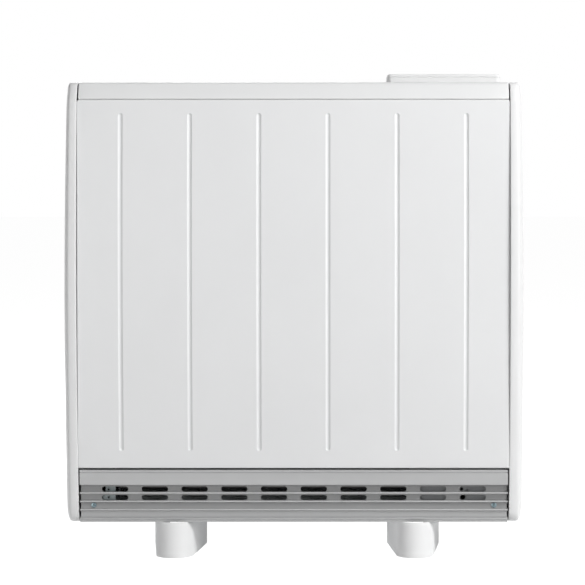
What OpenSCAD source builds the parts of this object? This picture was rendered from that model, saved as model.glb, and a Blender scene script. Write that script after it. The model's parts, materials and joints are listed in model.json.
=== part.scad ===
// Fan-assisted storage heater: a brick core in a steel case, with a blower behind a finned outlet grille.
// Millimetres. Origin on the floor under the middle of the case, +Z up, the front looks along -Y.

/* [Case] */
// Width over both end caps
case_w = 711; // [610:1:1200]
// Height from the floor to the lid
case_h = 731; // [690:1:800]
// Depth from the front bulge of the end caps to the wall
case_d = 185; // [178:1:215]
// Ground clearance under the case
foot_h = 55; // [40:1:70]
// Thickness of the folded steel sheets
sheet_t = 1.2; // [0.8:0.1:1.5]
// Distance that the wall spacers hold the case off the wall
wall_gap = 12; // [8:1:20]

/* [Front panel] */
// Radius of the bow of the front panel, seen from the side
panel_bow_r = 3700; // [2900:50:8000]
// Height of the foremost line of the bow
bow_z = 450; // [400:5:500]
// How far the end caps stand in front of the panel
cap_proud = 4.5; // [2:0.5:8]
// Height of the panel's bottom edge
panel_z0 = 139; // [134:1:146]
// Height of the folded lip of the lid
lip_h = 25.9; // [18:0.1:34]
// Shadow gap between the lid's lip and the panel
lip_gap = 1.2; // [1:0.1:3]
// Gap between the panel and the outlet grille below it
band_gap = 3; // [2:0.1:4]
// Size of the corners cut off where lid, panel and end cap meet
corner_cut = 2.4; // [1.5:0.1:4]
// Lean of the lip from the vertical, in degrees
lip_lean = 26; // [8:1:30]
// Height of the lid's rear flange
lid_back_h = 14; // [12:0.5:24]
// Radius of the lid's front edge
lip_round = 8; // [4:0.5:9]
// Number of pressed grooves
groove_n = 6; // [3:1:8]
// Distance between the grooves
groove_pitch = 105.6; // [70:0.1:108]
// Radius of the groove's section
groove_r = 4.6; // [3:0.1:5]
// Depth of the groove
groove_depth = 2.3; // [1.5:0.1:3]
// Plain margin below the grooves
groove_margin = 31; // [20:1:60]
// Plain margin above the grooves
groove_top_margin = 25.9; // [18:0.1:60]

/* [End caps] */
// Width of an end cap
cap_t = 25; // [20:0.5:28]
// Gap between the case sheets and an end cap
cap_gap = 0.9; // [0.6:0.1:2.5]
// Radius of the bow of an end cap
cap_bow_r = 2800; // [2400:50:6000]
// Distance behind the front at which an end cap is widest
cap_slant = 57; // [45:1:66]
// How far the widest part of an end cap stays below its top and above its foot
cap_dome = 60; // [40:1:70]
// Radius of the upper front edge of an end cap, seen from the side
cap_top_r = 12; // [8:1:16]
// Radius of the lower front corner of an end cap, seen from the side
cap_corner_r = 20; // [12:1:30]
// Wall of an end cap
cap_wall = 2.5; // [1.5:0.1:4]
// Radius of the pegs that hold an end cap
peg_r = 4; // [3:0.5:6]

/* [Outlet grille] */
// Number of fins below the smooth band
fin_n = 3; // [2:1:3]
// Distance between the fins
fin_pitch = 13.05; // [12:0.05:14]
// Thickness of a fin
fin_t = 3.2; // [2:0.1:4]
// Height of the smooth band at the top
band_h = 23.3; // [18:0.1:26]
// Depth of the fins in front of the web
fin_depth = 8; // [5:0.5:12]
// Thickness of the grille's web
web_t = 2; // [1.5:0.1:3]
// Number of air slots in a row
slot_n = 10; // [4:1:10]
// Distance between the slots
slot_pitch = 61.2; // [50:0.1:62]
// Length of a slot
slot_w = 40.7; // [20:0.1:44]
// Height of a slot
slot_h = 7.6; // [4:0.1:7.8]

/* [Feet] */
// Distance between the middles of the feet
foot_span = 368; // [300:1:500]
// Radius of a foot's nose
foot_nose_r = 29; // [24:0.5:34]
// Half width of a foot at its back
foot_back_w = 40.5; // [36:0.5:50]
// Depth of a foot's cover
foot_d = 138; // [100:1:150]
// Wall of a foot's cover
foot_wall = 2.2; // [1.5:0.1:3]
// Radius of the floor fixing holes
floor_hole_r = 4.5; // [3:0.1:6]

/* [Core] */
// Number of brick rows
row_n = 4; // [4:1:4]
// Air gap between the top insulation and the lid
top_gap = 39.4; // [30:0.1:60]
// Width of the wiring space beside the core
compartment_w = 126.4; // [110:0.1:150]
// Depth of a brick
brick_d = 100; // [90:1:104]
// Length of the air channel in a brick
channel_w = 90; // [40:1:120]
// Width of the air channel in a brick
channel_d = 14; // [8:1:20]
// Thickness of the front and rear insulation
insulation_t = 24; // [16:0.5:26]
// Thickness of the top insulation
insulation_top = 40; // [20:1:42]
// Radius of a heating rod
rod_r = 4.25; // [3:0.05:5]
// Distance between the two runs of a heating rod
rod_span = 50; // [36:1:60]

/* [Blower] */
// Radius of the fan rotor
rotor_r = 24; // [18:0.5:26]
// Number of blades
blade_n = 22; // [12:1:28]
// Thickness of a blade
blade_t = 0.8; // [0.5:0.1:1.2]
// Radius of the fan shaft
shaft_r = 3; // [2:0.5:4]
// Height of the fan shaft above the case's floor
fan_rise = 47; // [44:0.5:50]
// Height of the damper plate
damper_h = 30; // [20:1:32]
// Radius of the damper's pins
pin_r = 2; // [1.5:0.1:3]

/* [Control pod] */
// Width of the pod
pod_w = 176; // [150:1:200]
// Depth of the pod
pod_d = 92; // [70:1:110]
// Height of the pod above the lid
pod_h = 14.4; // [12:0.1:18]
// Thickness of the pod's upper shell
fascia_t = 4.6; // [3:0.1:6]
// Corner radius of the pod
pod_corner_r = 8; // [5:0.5:14]
// Radius of a push button
button_r = 6; // [4:0.5:8]
// Travel of a push button
button_travel = 0.8; // [0.4:0.1:1.2]

/* [Clearances] */
// Gap between parts that slide past or seat loosely
slack = 0.3; // [0.2:0.05:0.4]
// Gap round a turning shaft
running = 0.05; // [0.02:0.01:0.1]
// Gap between pieces that are pressed or clamped together
press = 0.02; // [0.01:0.01:0.03]

/* [Hidden] */

// Smoothness of small and large rounds
fine = 48;
coarse = 32;
bow_steps = 720;
eps = 0.01;
cut = 1;

// Case planes
front_y = -case_d / 2;
rear_y = case_d / 2;
back_y = rear_y - wall_gap;
panel_apex_y = front_y + cap_proud;
body_half = case_w / 2 - cap_t;
sheet_half = body_half - cap_gap;
side_x = sheet_half - sheet_t - slack - sheet_t;
lip_z0 = case_h - lip_h;
panel_z1 = lip_z0 - lip_gap;
panel_axis_y = panel_apex_y + panel_bow_r;
cap_axis_y = front_y + cap_bow_r;
flange = 10;

// Bowed surfaces: the front plane of the panel and of the caps at a height
function panel_y(z) = panel_axis_y - sqrt(pow(panel_bow_r, 2) - pow(z - bow_z, 2));
function cap_y(z) = cap_axis_y - sqrt(pow(cap_bow_r, 2) - pow(z - bow_z, 2));
function mid(i, n) = i - (n - 1) / 2;

// Levels inside the case
floor_z = foot_h + sheet_t;
shelf_z = panel_z0 + flange;
seat_z = panel_z0 + sheet_t + slack;
inner_y = panel_y(panel_z0) + 3 * sheet_t;
core_y0 = inner_y + sheet_t + slack + insulation_t + slack;
core_y = core_y0 + brick_d / 2;
core_z0 = shelf_z + sheet_t + slack + insulation_t;
core_z1 = case_h - top_gap - insulation_top;
row_pitch = (core_z1 - core_z0) / row_n;
brick_h = row_pitch - press;
wall_x = side_x - compartment_w;
core_x0 = -side_x + sheet_t + slack + insulation_t + slack;
core_x1 = wall_x - slack - insulation_t - slack;
core_x = (core_x0 + core_x1) / 2;
brick_w = (core_x1 - core_x0) / 2 - press;
rod_exit_x = wall_x + 22;
rear_insulation_y = core_y0 + brick_d + slack;
board_y0 = inner_y + 2 * sheet_t + slack;

// Outlet grille
grille_half = sheet_half - 1.6;
web_half = grille_half - 3;
band_z1 = panel_z0 - band_gap;
band_z0 = band_z1 - band_h;
band_y = panel_y(panel_z0) + 2.6;
web_y = band_y + fin_depth;
lip_fin_z = foot_h + 5;
first_fin_z = lip_fin_z + fin_n * fin_pitch;
fin_step_y = 1.2;
grille_screw_x = web_half - 17;
grille_screw_z = lip_fin_z + 1.5 * fin_pitch;

// Blower
fan_y = 14;
fan_z = floor_z + fan_rise;
bracket_x = -side_x + 50.5;
plate_x = core_x1 + 2;
rotor_x0 = bracket_x + 22;
rotor_x1 = plate_x - 10;
scroll_r = rotor_r + 7;
damper_y = web_y + web_t + 12;
damper_z = shelf_z - 14;
damper_x0 = bracket_x + sheet_t + 2;
damper_x1 = plate_x - 2;
bearing_r = 8;
bearing_l = 8;

// Control pod
pod_x = body_half - 98.5;
pod_y = front_y + 62 + pod_d / 2;
pod_z1 = case_h + pod_h;
fascia_z = pod_z1 - fascia_t;
button_pitch = 22;
button_y = pod_y + 16;
button_rise = 1.2;
window_w = 62;
window_d = 26;
window_t = 1.5;
window_x = pod_x - 38;

// Screws
screw_head_r = 4;
screw_head_h = 2;
screw_r = 1.75;
screw_l = 9;
screw_hole_r = screw_r + press;

steel_white = [0.93, 0.93, 0.92];
steel_grey = [0.72, 0.74, 0.75];
aluminium = [0.70, 0.70, 0.70];
brick_brown = [0.36, 0.27, 0.22];
insulation_buff = [0.82, 0.78, 0.68];
dark = [0.16, 0.16, 0.17];

// Stands a (Y, Z) outline up and draws it out along X from x0 to x1
module along_x(x0, x1) {
    translate([x0, 0, 0]) rotate([90, 0, 90]) linear_extrude(x1 - x0) children();
}

// Draws an (X, Z) outline out along Y from y0 to y1
module along_y(y0, y1) {
    translate([0, y1, 0]) rotate([90, 0, 0]) linear_extrude(y1 - y0) children();
}

// A box from its two corners
module block(low, high) {
    translate(low) cube(high - low);
}

// A rod along X, Y or Z
module rod_x(x0, x1, y, z, r) {
    translate([x0, y, z]) rotate([0, 90, 0]) cylinder(h = x1 - x0, r = r, $fn = fine);
}
module rod_y(y0, y1, x, z, r) {
    translate([x, y0, z]) rotate([-90, 0, 0]) cylinder(h = y1 - y0, r = r, $fn = fine);
}
module rod_z(z0, z1, x, y, r) {
    translate([x, y, z0]) cylinder(h = z1 - z0, r = r, $fn = fine);
}

// A slot with round ends, centred, its length along the first axis
module slot_2d(w, h) {
    square([w - h, h], center = true);
    for (side = [-1, 1]) translate([side * (w - h) / 2, 0]) circle(r = h / 2, $fn = fine);
}

// A rectangle with round corners, centred
module round_rect(w, d, r) {
    square([w - 2 * r, d], center = true);
    square([w, d - 2 * r], center = true);
    for (x = [-1, 1], y = [-1, 1]) {
        translate([x * (w / 2 - r), y * (d / 2 - r)]) circle(r = r, $fn = fine);
    }
}

// A pan-head screw with a cross recess, its head above the origin and its shank along -Z
module screw(l = screw_l) {
    difference() {
        union() {
            cylinder(h = screw_head_h, r = screw_head_r, $fn = fine);
            translate([0, 0, -l]) cylinder(h = l + eps, r = screw_r, $fn = coarse);
        }
        for (turn = [0, 90]) rotate([0, 0, turn]) {
            translate([-screw_r * 1.3, -0.6, screw_head_h - 1.2]) cube([screw_r * 2.6, 1.2, cut * 2]);
        }
    }
}

// A ring-shaped strip of the panel's bow, between two depths behind its front and two heights
module bow_strip(depth0, depth1, z0, z1) {
    intersection() {
        translate([panel_axis_y, bow_z]) difference() {
            circle(r = panel_bow_r - depth0, $fn = bow_steps);
            circle(r = panel_bow_r - depth1, $fn = bow_steps);
        }
        translate([panel_apex_y - cut, z0]) square([case_d / 2, z1 - z0]);
    }
}

// One groove's tube along the bow, round at both ends
module groove_tube(x, r) {
    lift = groove_r - groove_depth;
    end_step = 0.1;
    path_r = panel_bow_r + lift;
    low = asin((panel_z0 + groove_margin - bow_z) / path_r);
    high = asin((panel_z1 - groove_top_margin - bow_z) / path_r);
    translate([x, panel_axis_y, bow_z]) rotate([90, 0, 90]) {
        rotate([0, 0, 180 - high]) rotate_extrude(angle = high - low, $fn = bow_steps * 2) {
            translate([path_r, 0]) circle(r = r, $fn = coarse);
        }
        for (a = [low, high]) rotate([0, 0, 180 - a]) translate([path_r, 0, 0]) sphere(r = r - end_step, $fn = coarse);
    }
}

// Cuts the corners off the panel and the lid where they meet the end caps
module corner_cuts() {
    corner_z = (lip_z0 + panel_z1) / 2;
    for (side = [-1, 1]) translate([side * sheet_half, corner_z]) rotate(45) {
        square(corner_cut * sqrt(2), center = true);
    }
}

module front_panel() {
    color(steel_white) difference() {
        intersection() {
            union() {
                along_x(-sheet_half, sheet_half) bow_strip(0, sheet_t, panel_z0, panel_z1);
                for (i = [0 : groove_n - 1]) groove_tube(mid(i, groove_n) * groove_pitch, groove_r + sheet_t);
                for (x = [-sheet_half, sheet_half - sheet_t]) {
                    along_x(x, x + sheet_t) bow_strip(0, flange, panel_z0, panel_z1);
                }
                for (z = [panel_z0, panel_z1 - sheet_t]) {
                    along_x(-sheet_half, sheet_half) bow_strip(0, flange * 0.8, z, z + sheet_t);
                }
            }
            along_x(-sheet_half, sheet_half) bow_strip(0, flange * 2, panel_z0, panel_z1);
        }
        for (i = [0 : groove_n - 1]) groove_tube(mid(i, groove_n) * groove_pitch, groove_r);
        along_y(front_y - cut, front_y + 4 * flange) corner_cuts();
    }
}

// Front face and upper front edge of the lid's section, drawn in by an inset
lip_y0 = panel_y(lip_z0);
lid_back_y = back_y + press + sheet_t;
function lid_face_y(z, inset) = lip_y0 + (z - lip_z0) * tan(lip_lean) + inset / cos(lip_lean);
function lid_edge(inset) = [
    for (i = [0 : 10]) let (a = 180 - lip_lean - i * (90 - lip_lean) / 10, z = case_h - lip_round)
        [
            lid_face_y(z, 0) + lip_round / cos(lip_lean) + (lip_round - inset) * cos(a),
            z + (lip_round - inset) * sin(a)
        ]
];
function lid_edge_back(inset) = let (p = lid_edge(inset)) [for (i = [10 : -1 : 0]) p[i]];

// The lid: top sheet, leaning front lip with a hemmed edge, and a short rear flange
module lid() {
    hem = 9;
    flange_z = case_h - lid_back_h;
    color(steel_white) difference() {
        along_x(-sheet_half, sheet_half) polygon(concat(
            [[lid_face_y(lip_z0, 0), lip_z0]],
            lid_edge(0),
            [
                [lid_back_y, case_h], [lid_back_y, flange_z],
                [lid_back_y - sheet_t, flange_z], [lid_back_y - sheet_t, case_h - sheet_t]
            ],
            lid_edge_back(sheet_t),
            [
                [lid_face_y(lip_z0 + sheet_t, sheet_t), lip_z0 + sheet_t],
                [lip_y0 + hem, lip_z0 + sheet_t], [lip_y0 + hem, lip_z0 + hem],
                [lip_y0 + hem + sheet_t, lip_z0 + hem], [lip_y0 + hem + sheet_t, lip_z0]
            ]
        ));
        for (side = [-1, 1]) {
            rod_y(back_y - cut, lid_back_y + cut, side * lid_screw_x, lid_screw_z, screw_hole_r);
            rod_z(case_h - 2 * sheet_t, case_h + cut, pod_x + side * pod_screw_x, pod_y, screw_hole_r);
        }
        rod_z(case_h - 2 * sheet_t, case_h + cut, pod_x, pod_y, pod_wire_r);
        along_y(front_y - cut, front_y + 4 * flange) corner_cuts();
    }
}
lid_screw_x = body_half - 60;
lid_screw_z = case_h - lid_back_h / 2;
pod_screw_x = pod_w / 2 - 14;
pod_wire_r = 9;

// Side outline of an end cap as points: its front stepped back, its top and foot drawn in, its rear
// edge moved forward
cap_z0 = foot_h + 0.8;
cap_z1 = case_h;
cap_low_z = cap_z0 + cap_corner_r;
cap_axis_r = cap_bow_r - cap_corner_r;
function cap_rise(drop) = lip_z0 - cap_low_z - 2 * drop;
function cap_front(back, drop) = [
    for (i = [1 : 12]) let (z = cap_low_z + drop + i * cap_rise(drop) / 12) [cap_y(z) + back, z]
];
function cap_face_y(z, drop) = cap_y(lip_z0 - drop) + (z - lip_z0 + drop) * tan(lip_lean);
function cap_top_arc(back, drop, z) = [
    for (i = [0 : 8]) let (a = 180 - lip_lean - i * (90 - lip_lean) / 8)
        [cap_face_y(z, drop) + back + cap_top_r / cos(lip_lean) + cap_top_r * cos(a), z + cap_top_r * sin(a)]
];
function cap_low_arc(back, z, lean) = [
    for (i = [0 : 7]) let (a = 270 - i * (90 + lean) / 7)
        [
            cap_axis_y - sqrt(pow(cap_axis_r, 2) - pow(z - bow_z, 2)) + back + cap_corner_r * cos(a),
            z + cap_corner_r * sin(a)
        ]
];
function cap_outline(back, drop, rear) = concat(
    cap_front(back, drop),
    cap_top_arc(back, drop, cap_z1 - drop - cap_top_r),
    [[back_y - rear, cap_z1 - drop], [back_y - rear, cap_z0 + drop]],
    cap_low_arc(back, cap_low_z + drop, asin((cap_low_z + drop - bow_z) / cap_axis_r))
);

// Stations across an end cap, as shares of its width, of cap_slant and of cap_dome
cap_stations = [
    [0, 0.018, 0.017], [0.04, 0, 0], [0.46, 0, 0], [0.556, 0.018, 0.007], [0.62, 0.063, 0.013],
    [0.7, 0.184, 0.03], [0.82, 0.386, 0.067], [0.912, 0.596, 0.2], [0.96, 0.77, 0.43], [1, 1, 1]
];
last_station = len(cap_stations) - 1;

// Ring of points round an end cap at a station, drawn in on all sides by an inset
function cap_ring(station, inset) = let (x = max(body_half, body_half + station[0] * cap_t - inset))
    [
        for (p = cap_outline(station[1] * cap_slant + inset, station[2] * cap_dome + inset, inset))
            [x, p[0], p[1]]
    ];

// A closed skin over a row of equal rings
module ring_skin(rings) {
    n = len(rings[0]);
    last = (len(rings) - 1) * n;
    polyhedron(
        points = [for (ring = rings, p = ring) p],
        faces = concat(
            [[for (i = [0 : n - 1]) i]],
            [for (k = [0 : n : last - n], i = [0 : n - 1]) [k + i, k + n + i, k + n + (i + 1) % n]],
            [for (k = [0 : n : last - n], i = [0 : n - 1]) [k + i, k + n + (i + 1) % n, k + (i + 1) % n]],
            [[for (i = [n - 1 : -1 : 0]) last + i]]
        )
    );
}

// Pegs that clip an end cap into its side panel
peg_y = [front_y + 90, back_y - 30];
peg_z = [cap_z0 + 110, bow_z, cap_z1 - 110];

// The right-hand end cap, a hollow cup; the left-hand one is its mirror image
module end_cap() {
    outer = [for (i = [last_station : -1 : 0]) cap_ring(cap_stations[i], 0)];
    inner = [for (i = [0 : last_station]) if (i != 1) cap_ring(cap_stations[i], cap_wall)];
    color(steel_white) union() {
        ring_skin(concat(outer, inner));
        for (y = peg_y, z = peg_z) rod_x(side_x - sheet_t, case_w / 2 - cap_wall + eps, y, z, peg_r);
    }
}
module end_cap_right() {
    end_cap();
}
module end_cap_left() {
    mirror([1, 0, 0]) end_cap();
}

// Flat side of the case behind an end cap, seated in the base tray
module side_panel() {
    y0 = inner_y + slack;
    z0 = floor_z + press;
    z1 = panel_z1 - 2 * sheet_t;
    color(steel_grey) difference() {
        union() {
            block([side_x - sheet_t, y0, seat_z], [side_x, back_y - sheet_t - press, z1]);
            block([side_x - sheet_t, web_y + 2 * flange, z0], [side_x, back_y - sheet_t - press, shelf_z]);
            block([side_x - flange, inner_y + sheet_t + press, shelf_z + flange],
                [side_x, inner_y + 2 * sheet_t, z1]);
        }
        for (y = peg_y, z = peg_z) rod_x(side_x - 2 * sheet_t, side_x + sheet_t, y, z, peg_r + slack);
    }
}
module side_panel_right() {
    side_panel();
}
module side_panel_left() {
    mirror([1, 0, 0]) side_panel();
}

// Places of the holes in the rear panel
spacer_x = 210;
spacer_r = 12;
spacer_z = case_h - lid_back_h - spacer_r - 1;
spacer_hole_r = 4.2;
gland_x = wall_x + 46;
gland_z = floor_z + 66;
gland_r = 10;
rear_z0 = foot_h;
rear_z1 = case_h - sheet_t - press;
module rear_panel() {
    color(steel_grey) difference() {
        union() {
            block([-sheet_half, back_y - sheet_t, rear_z0], [sheet_half, back_y, rear_z1]);
            for (x = [-sheet_half, sheet_half - sheet_t]) {
                block([x, back_y - 2 * flange, rear_z0], [x + sheet_t, back_y, rear_z1]);
            }
        }
        for (side = [-1, 1]) {
            rod_y(back_y - 2 * sheet_t, back_y + cut, side * spacer_x, spacer_z, spacer_hole_r);
            rod_y(back_y - 2 * sheet_t, back_y + cut, side * lid_screw_x, lid_screw_z, screw_hole_r);
            rod_y(back_y - 2 * sheet_t, back_y + cut, side * lid_screw_x, rear_screw_z, screw_hole_r);
        }
        rod_y(back_y - 2 * sheet_t, back_y + cut, gland_x, gland_z, gland_r + press);
    }
}
rear_screw_z = foot_h + 9;

// Folded floor of the case, with intake slots under the blower and tabs for the grille
module base_tray() {
    y0 = web_y + web_t + slack;
    y1 = back_y - sheet_t - press;
    x1 = side_x - sheet_t - press;
    tab_half = 9;
    wall_h = 18;
    color(steel_grey) difference() {
        union() {
            block([-side_x, y0, foot_h], [side_x, y1, floor_z]);
            block([-x1, y1 - sheet_t, foot_h], [x1, y1, floor_z + wall_h]);
            for (side = [-1, 1]) {
                block([side * grille_screw_x - tab_half, y0, foot_h],
                    [side * grille_screw_x + tab_half, y0 + sheet_t, grille_screw_z + tab_half]);
            }
            block([-x1, y0, foot_h], [x1, y0 + sheet_t, floor_z + 5]);
        }
        for (i = [0 : intake_n - 1], j = [0 : 2]) {
            translate([core_x + mid(i, intake_n) * 34, fan_y + 6 + 14 * j, foot_h - cut]) {
                linear_extrude(2 * cut + sheet_t) slot_2d(26, 6);
            }
        }
        for (side = [-1, 1]) {
            rod_y(y0 - cut, y0 + 2 * sheet_t, side * grille_screw_x, grille_screw_z, screw_hole_r);
            rod_y(y1 - 2 * sheet_t, y1 + cut, side * lid_screw_x, rear_screw_z, screw_hole_r);
            for (y = foot_screw_y) rod_z(foot_h - cut, floor_z + cut, side * foot_span / 2, y, screw_hole_r);
        }
    }
}
intake_n = 12;
foot_screw_y = [-20, 50];

// Section of the grille: a smooth band over a web with fins, and a turned lip at the foot
module grille_section() {
    nose = fin_t / 2;
    translate([band_y, band_z0]) square([web_t, band_h - nose]);
    translate([band_y + nose, band_z1 - nose]) circle(r = nose, $fn = fine);
    translate([band_y + nose, band_z1 - fin_t]) square([fin_depth + web_t - nose, fin_t]);
    translate([band_y, band_z0]) square([fin_depth + web_t, fin_t]);
    translate([web_y, lip_fin_z - nose]) square([web_t, band_z1 - lip_fin_z]);
    for (i = [0 : fin_n]) {
        tip_y = band_y + fin_step_y * (fin_n - i) + nose;
        z = lip_fin_z + i * fin_pitch;
        translate([tip_y, z - nose]) square([web_y + web_t - tip_y, fin_t]);
        translate([tip_y, z]) circle(r = nose, $fn = fine);
    }
    lip_y = band_y + fin_step_y * fin_n + nose;
    translate([lip_y, foot_h + press]) square([web_t, lip_fin_z - foot_h]);
    translate([lip_y, foot_h + press]) square([web_y - lip_y - web_t, sheet_t]);
}
module outlet_grille() {
    color(aluminium) difference() {
        along_x(-grille_half, grille_half) grille_section();
        for (i = [0 : slot_n - 1], row = [0, 1]) {
            z = first_fin_z + fin_t / 2 + slot_h / 2 + eps - row * fin_pitch;
            along_y(web_y - eps, web_y + web_t + cut) {
                translate([mid(i, slot_n) * slot_pitch, z]) slot_2d(slot_w, slot_h);
            }
        }
        for (side = [-1, 1]) {
            translate([side * (web_half + grille_half) / 2, web_y + web_t, lip_fin_z + band_z0 / 2]) {
                cube([grille_half - web_half, 2 * web_t, band_z0], center = true);
            }
            rod_y(web_y - cut, web_y + web_t + cut, side * grille_screw_x, grille_screw_z, screw_hole_r);
        }
    }
}
module grille_screws() {
    color(steel_grey) for (side = [-1, 1]) {
        translate([side * grille_screw_x, web_y - press, grille_screw_z]) rotate([90, 0, 0]) screw();
    }
}

// Plan of a foot cover, drawn in by an inset
foot_y0 = front_y + 19.5;
module foot_plan(inset) {
    nose_y = foot_y0 + foot_nose_r;
    crease_y = nose_y - 6;
    crease_w = sqrt(pow(foot_nose_r, 2) - pow(nose_y - crease_y, 2));
    translate([0, nose_y]) circle(r = foot_nose_r - inset, $fn = fine * 2);
    polygon([
        [-crease_w + inset, crease_y], [crease_w - inset, crease_y],
        [foot_back_w - inset, foot_y0 + foot_d], [-foot_back_w + inset, foot_y0 + foot_d]
    ]);
}
module foot_cover(x) {
    color(steel_white) translate([x, 0, 0]) difference() {
        linear_extrude(foot_h - press) foot_plan(0);
        translate([0, 0, -cut]) linear_extrude(foot_h + cut) foot_plan(foot_wall);
        translate([-foot_back_w, foot_y0 + foot_d - foot_wall, -cut]) {
            cube([2 * foot_back_w, foot_back_w, foot_h + 2 * cut]);
        }
    }
}
module foot_left() {
    foot_cover(-foot_span / 2);
}
module foot_right() {
    foot_cover(foot_span / 2);
}

// Steel foot inside the cover: a channel with turned-out soles and floor fixing holes
frame_half = foot_nose_r - foot_wall - 4;
frame_y0 = foot_screw_y[0] - 14;
sole_y = [frame_y0 + 22, rear_y - 24];
module foot_frame(x) {
    wall = 2;
    color(steel_grey) translate([x, 0, 0]) difference() {
        block([-frame_half, frame_y0, 0], [frame_half, rear_y, foot_h - press]);
        block([-frame_half + wall, frame_y0 - cut, wall], [frame_half - wall, rear_y + cut, foot_h - wall]);
        for (y = sole_y) rod_z(-cut, wall + cut, 0, y, floor_hole_r);
        for (y = foot_screw_y) rod_z(foot_h - 2 * wall, foot_h + cut, 0, y, screw_hole_r);
    }
}
module foot_frame_left() {
    foot_frame(-foot_span / 2);
}
module foot_frame_right() {
    foot_frame(foot_span / 2);
}
module foot_screws() {
    color(steel_grey) for (side = [-1, 1], y = foot_screw_y) {
        translate([side * foot_span / 2, y, floor_z + press]) screw();
    }
}

// Steel panel between the core's insulation and the bowed front
module inner_front_panel() {
    x1 = side_x - sheet_t - slack;
    color(steel_grey) difference() {
        union() {
            block([-x1, inner_y, shelf_z + slack], [x1, inner_y + sheet_t, panel_z1 - 3 * sheet_t]);
            block([-x1, inner_y - 2 * sheet_t, bow_z - 30], [x1, inner_y, bow_z - 30 + sheet_t]);
        }
        for (x = [-x1 + 12, x1 - 12], z = [core_z0, bow_z, core_z1]) {
            rod_y(inner_y - cut, inner_y + 2 * sheet_t, x, z, screw_hole_r);
        }
    }
}

// Shelf that carries the core, resting on the side panels' turned edges and the blower's brackets
module core_shelf() {
    x1 = side_x - sheet_t - press;
    color(steel_grey) difference() {
        union() {
            block([-x1, inner_y + sheet_t, shelf_z], [x1, back_y - sheet_t - press, shelf_z + sheet_t]);
            block([-x1, inner_y + sheet_t, seat_z], [x1, inner_y + 2 * sheet_t, shelf_z]);
            for (side = [-1, 1]) {
                block([side * (x1 - flange / 2) - flange / 2, core_y, shelf_z - flange],
                    [side * (x1 - flange / 2) + flange / 2, core_y + sheet_t, shelf_z]);
            }
        }
        for (i = [0, 1]) translate([core_x0 + (i + 0.5) * brick_w, core_y, shelf_z - cut]) {
            linear_extrude(sheet_t + 2 * cut) slot_2d(channel_w, channel_d);
        }
        rod_z(shelf_z - cut, shelf_z + 2 * sheet_t, loom_x, loom_y, loom_r + slack);
    }
}
loom_r = 5;
loom_x = wall_x + 26;
loom_y = core_y + 34;

// Wall between the core and the wiring space, with holes for the heating rods
module compartment_wall() {
    z0 = shelf_z + sheet_t + press;
    color(steel_grey) difference() {
        block([wall_x, inner_y + sheet_t + slack, z0],
            [wall_x + sheet_t, back_y - sheet_t - press, core_z1 + insulation_top]);
        for (k = [1 : row_n - 1], side = [-1, 1]) {
            rod_x(wall_x - cut, wall_x + 2 * sheet_t, core_y + side * rod_span / 2, core_z0 + k * row_pitch,
                rod_r + slack);
        }
        rod_x(wall_x - cut, wall_x + 2 * sheet_t, core_y, sensor_z, sensor_r + slack);
    }
}
sensor_z = core_z0 + 3.5 * row_pitch;
sensor_r = 3;

// Insulation boards round the core
module insulation_block(low, high) {
    color(insulation_buff) block(low, high);
}
module insulation_front() {
    y0 = inner_y + sheet_t + slack;
    insulation_block([core_x0, y0, core_z0], [core_x1, y0 + insulation_t, core_z1]);
}
module insulation_rear() {
    insulation_block([core_x0, rear_insulation_y, core_z0],
        [core_x1, back_y - sheet_t - press, core_z1]);
}
module insulation_left() {
    insulation_block([core_x0 - slack - insulation_t, board_y0, core_z0],
        [core_x0 - slack, back_y - sheet_t - press, core_z1]);
}
module insulation_right() {
    color(insulation_buff) difference() {
        block([core_x1 + slack, board_y0, core_z0],
            [core_x1 + slack + insulation_t, back_y - sheet_t - press, core_z1]);
        for (k = [1 : row_n - 1], side = [-1, 1]) {
            rod_x(core_x1, wall_x, core_y + side * rod_span / 2, core_z0 + k * row_pitch, rod_r + slack);
        }
        rod_x(core_x1, wall_x, core_y, sensor_z, sensor_r + slack);
    }
}
module insulation_top() {
    insulation_block([-side_x + sheet_t + slack, board_y0, core_z1 + press],
        [wall_x - slack, back_y - sheet_t - press, core_z1 + insulation_top]);
}
module insulation_base() {
    z0 = shelf_z + sheet_t + press;
    color(insulation_buff) difference() {
        block([-side_x + sheet_t + slack, board_y0, z0],
            [wall_x - slack, back_y - sheet_t - press, core_z0 - press]);
        for (i = [0, 1]) translate([core_x0 + (i + 0.5) * brick_w, core_y, z0 - cut]) {
            linear_extrude(insulation_t * 2) slot_2d(channel_w, channel_d);
        }
    }
}

// Path of a heating rod: two straight runs joined by a bend at the left end
module rod_path(z, r) {
    bend_x = core_x0 + 60;
    bend_step = 0.05;
    for (side = [-1, 1]) rod_x(bend_x, rod_exit_x, core_y + side * rod_span / 2, z, r);
    translate([bend_x, core_y, z]) rotate([0, 0, 90]) rotate_extrude(angle = 180, $fn = fine * 2) {
        translate([rod_span / 2, 0]) circle(r = r - bend_step, $fn = fine);
    }
}

// One storage brick: row from 0 at the bottom, column 0 at the left
module core_brick(row, column) {
    x0 = core_x0 + column * (brick_w + press);
    z0 = core_z0 + row * row_pitch;
    color(brick_brown) difference() {
        block([x0, core_y0, z0], [x0 + brick_w, core_y0 + brick_d, z0 + brick_h]);
        translate([x0 + brick_w / 2, core_y, z0 - cut]) {
            linear_extrude(brick_h + 2 * cut) slot_2d(channel_w, channel_d);
        }
        if (row > 0) rod_path(z0, rod_r + slack);
        if (row < row_n - 1) rod_path(z0 + row_pitch, rod_r + slack);
        if (row == row_n - 1 && column == 1) {
            rod_x(x0 + brick_w - sensor_depth, x0 + brick_w + cut, core_y, sensor_z, sensor_r + slack);
        }
    }
}
sensor_depth = 60;
module core_brick_1() {
    core_brick(0, 0);
}
module core_brick_2() {
    core_brick(0, 1);
}
module core_brick_3() {
    core_brick(1, 0);
}
module core_brick_4() {
    core_brick(1, 1);
}
module core_brick_5() {
    core_brick(2, 0);
}
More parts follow.
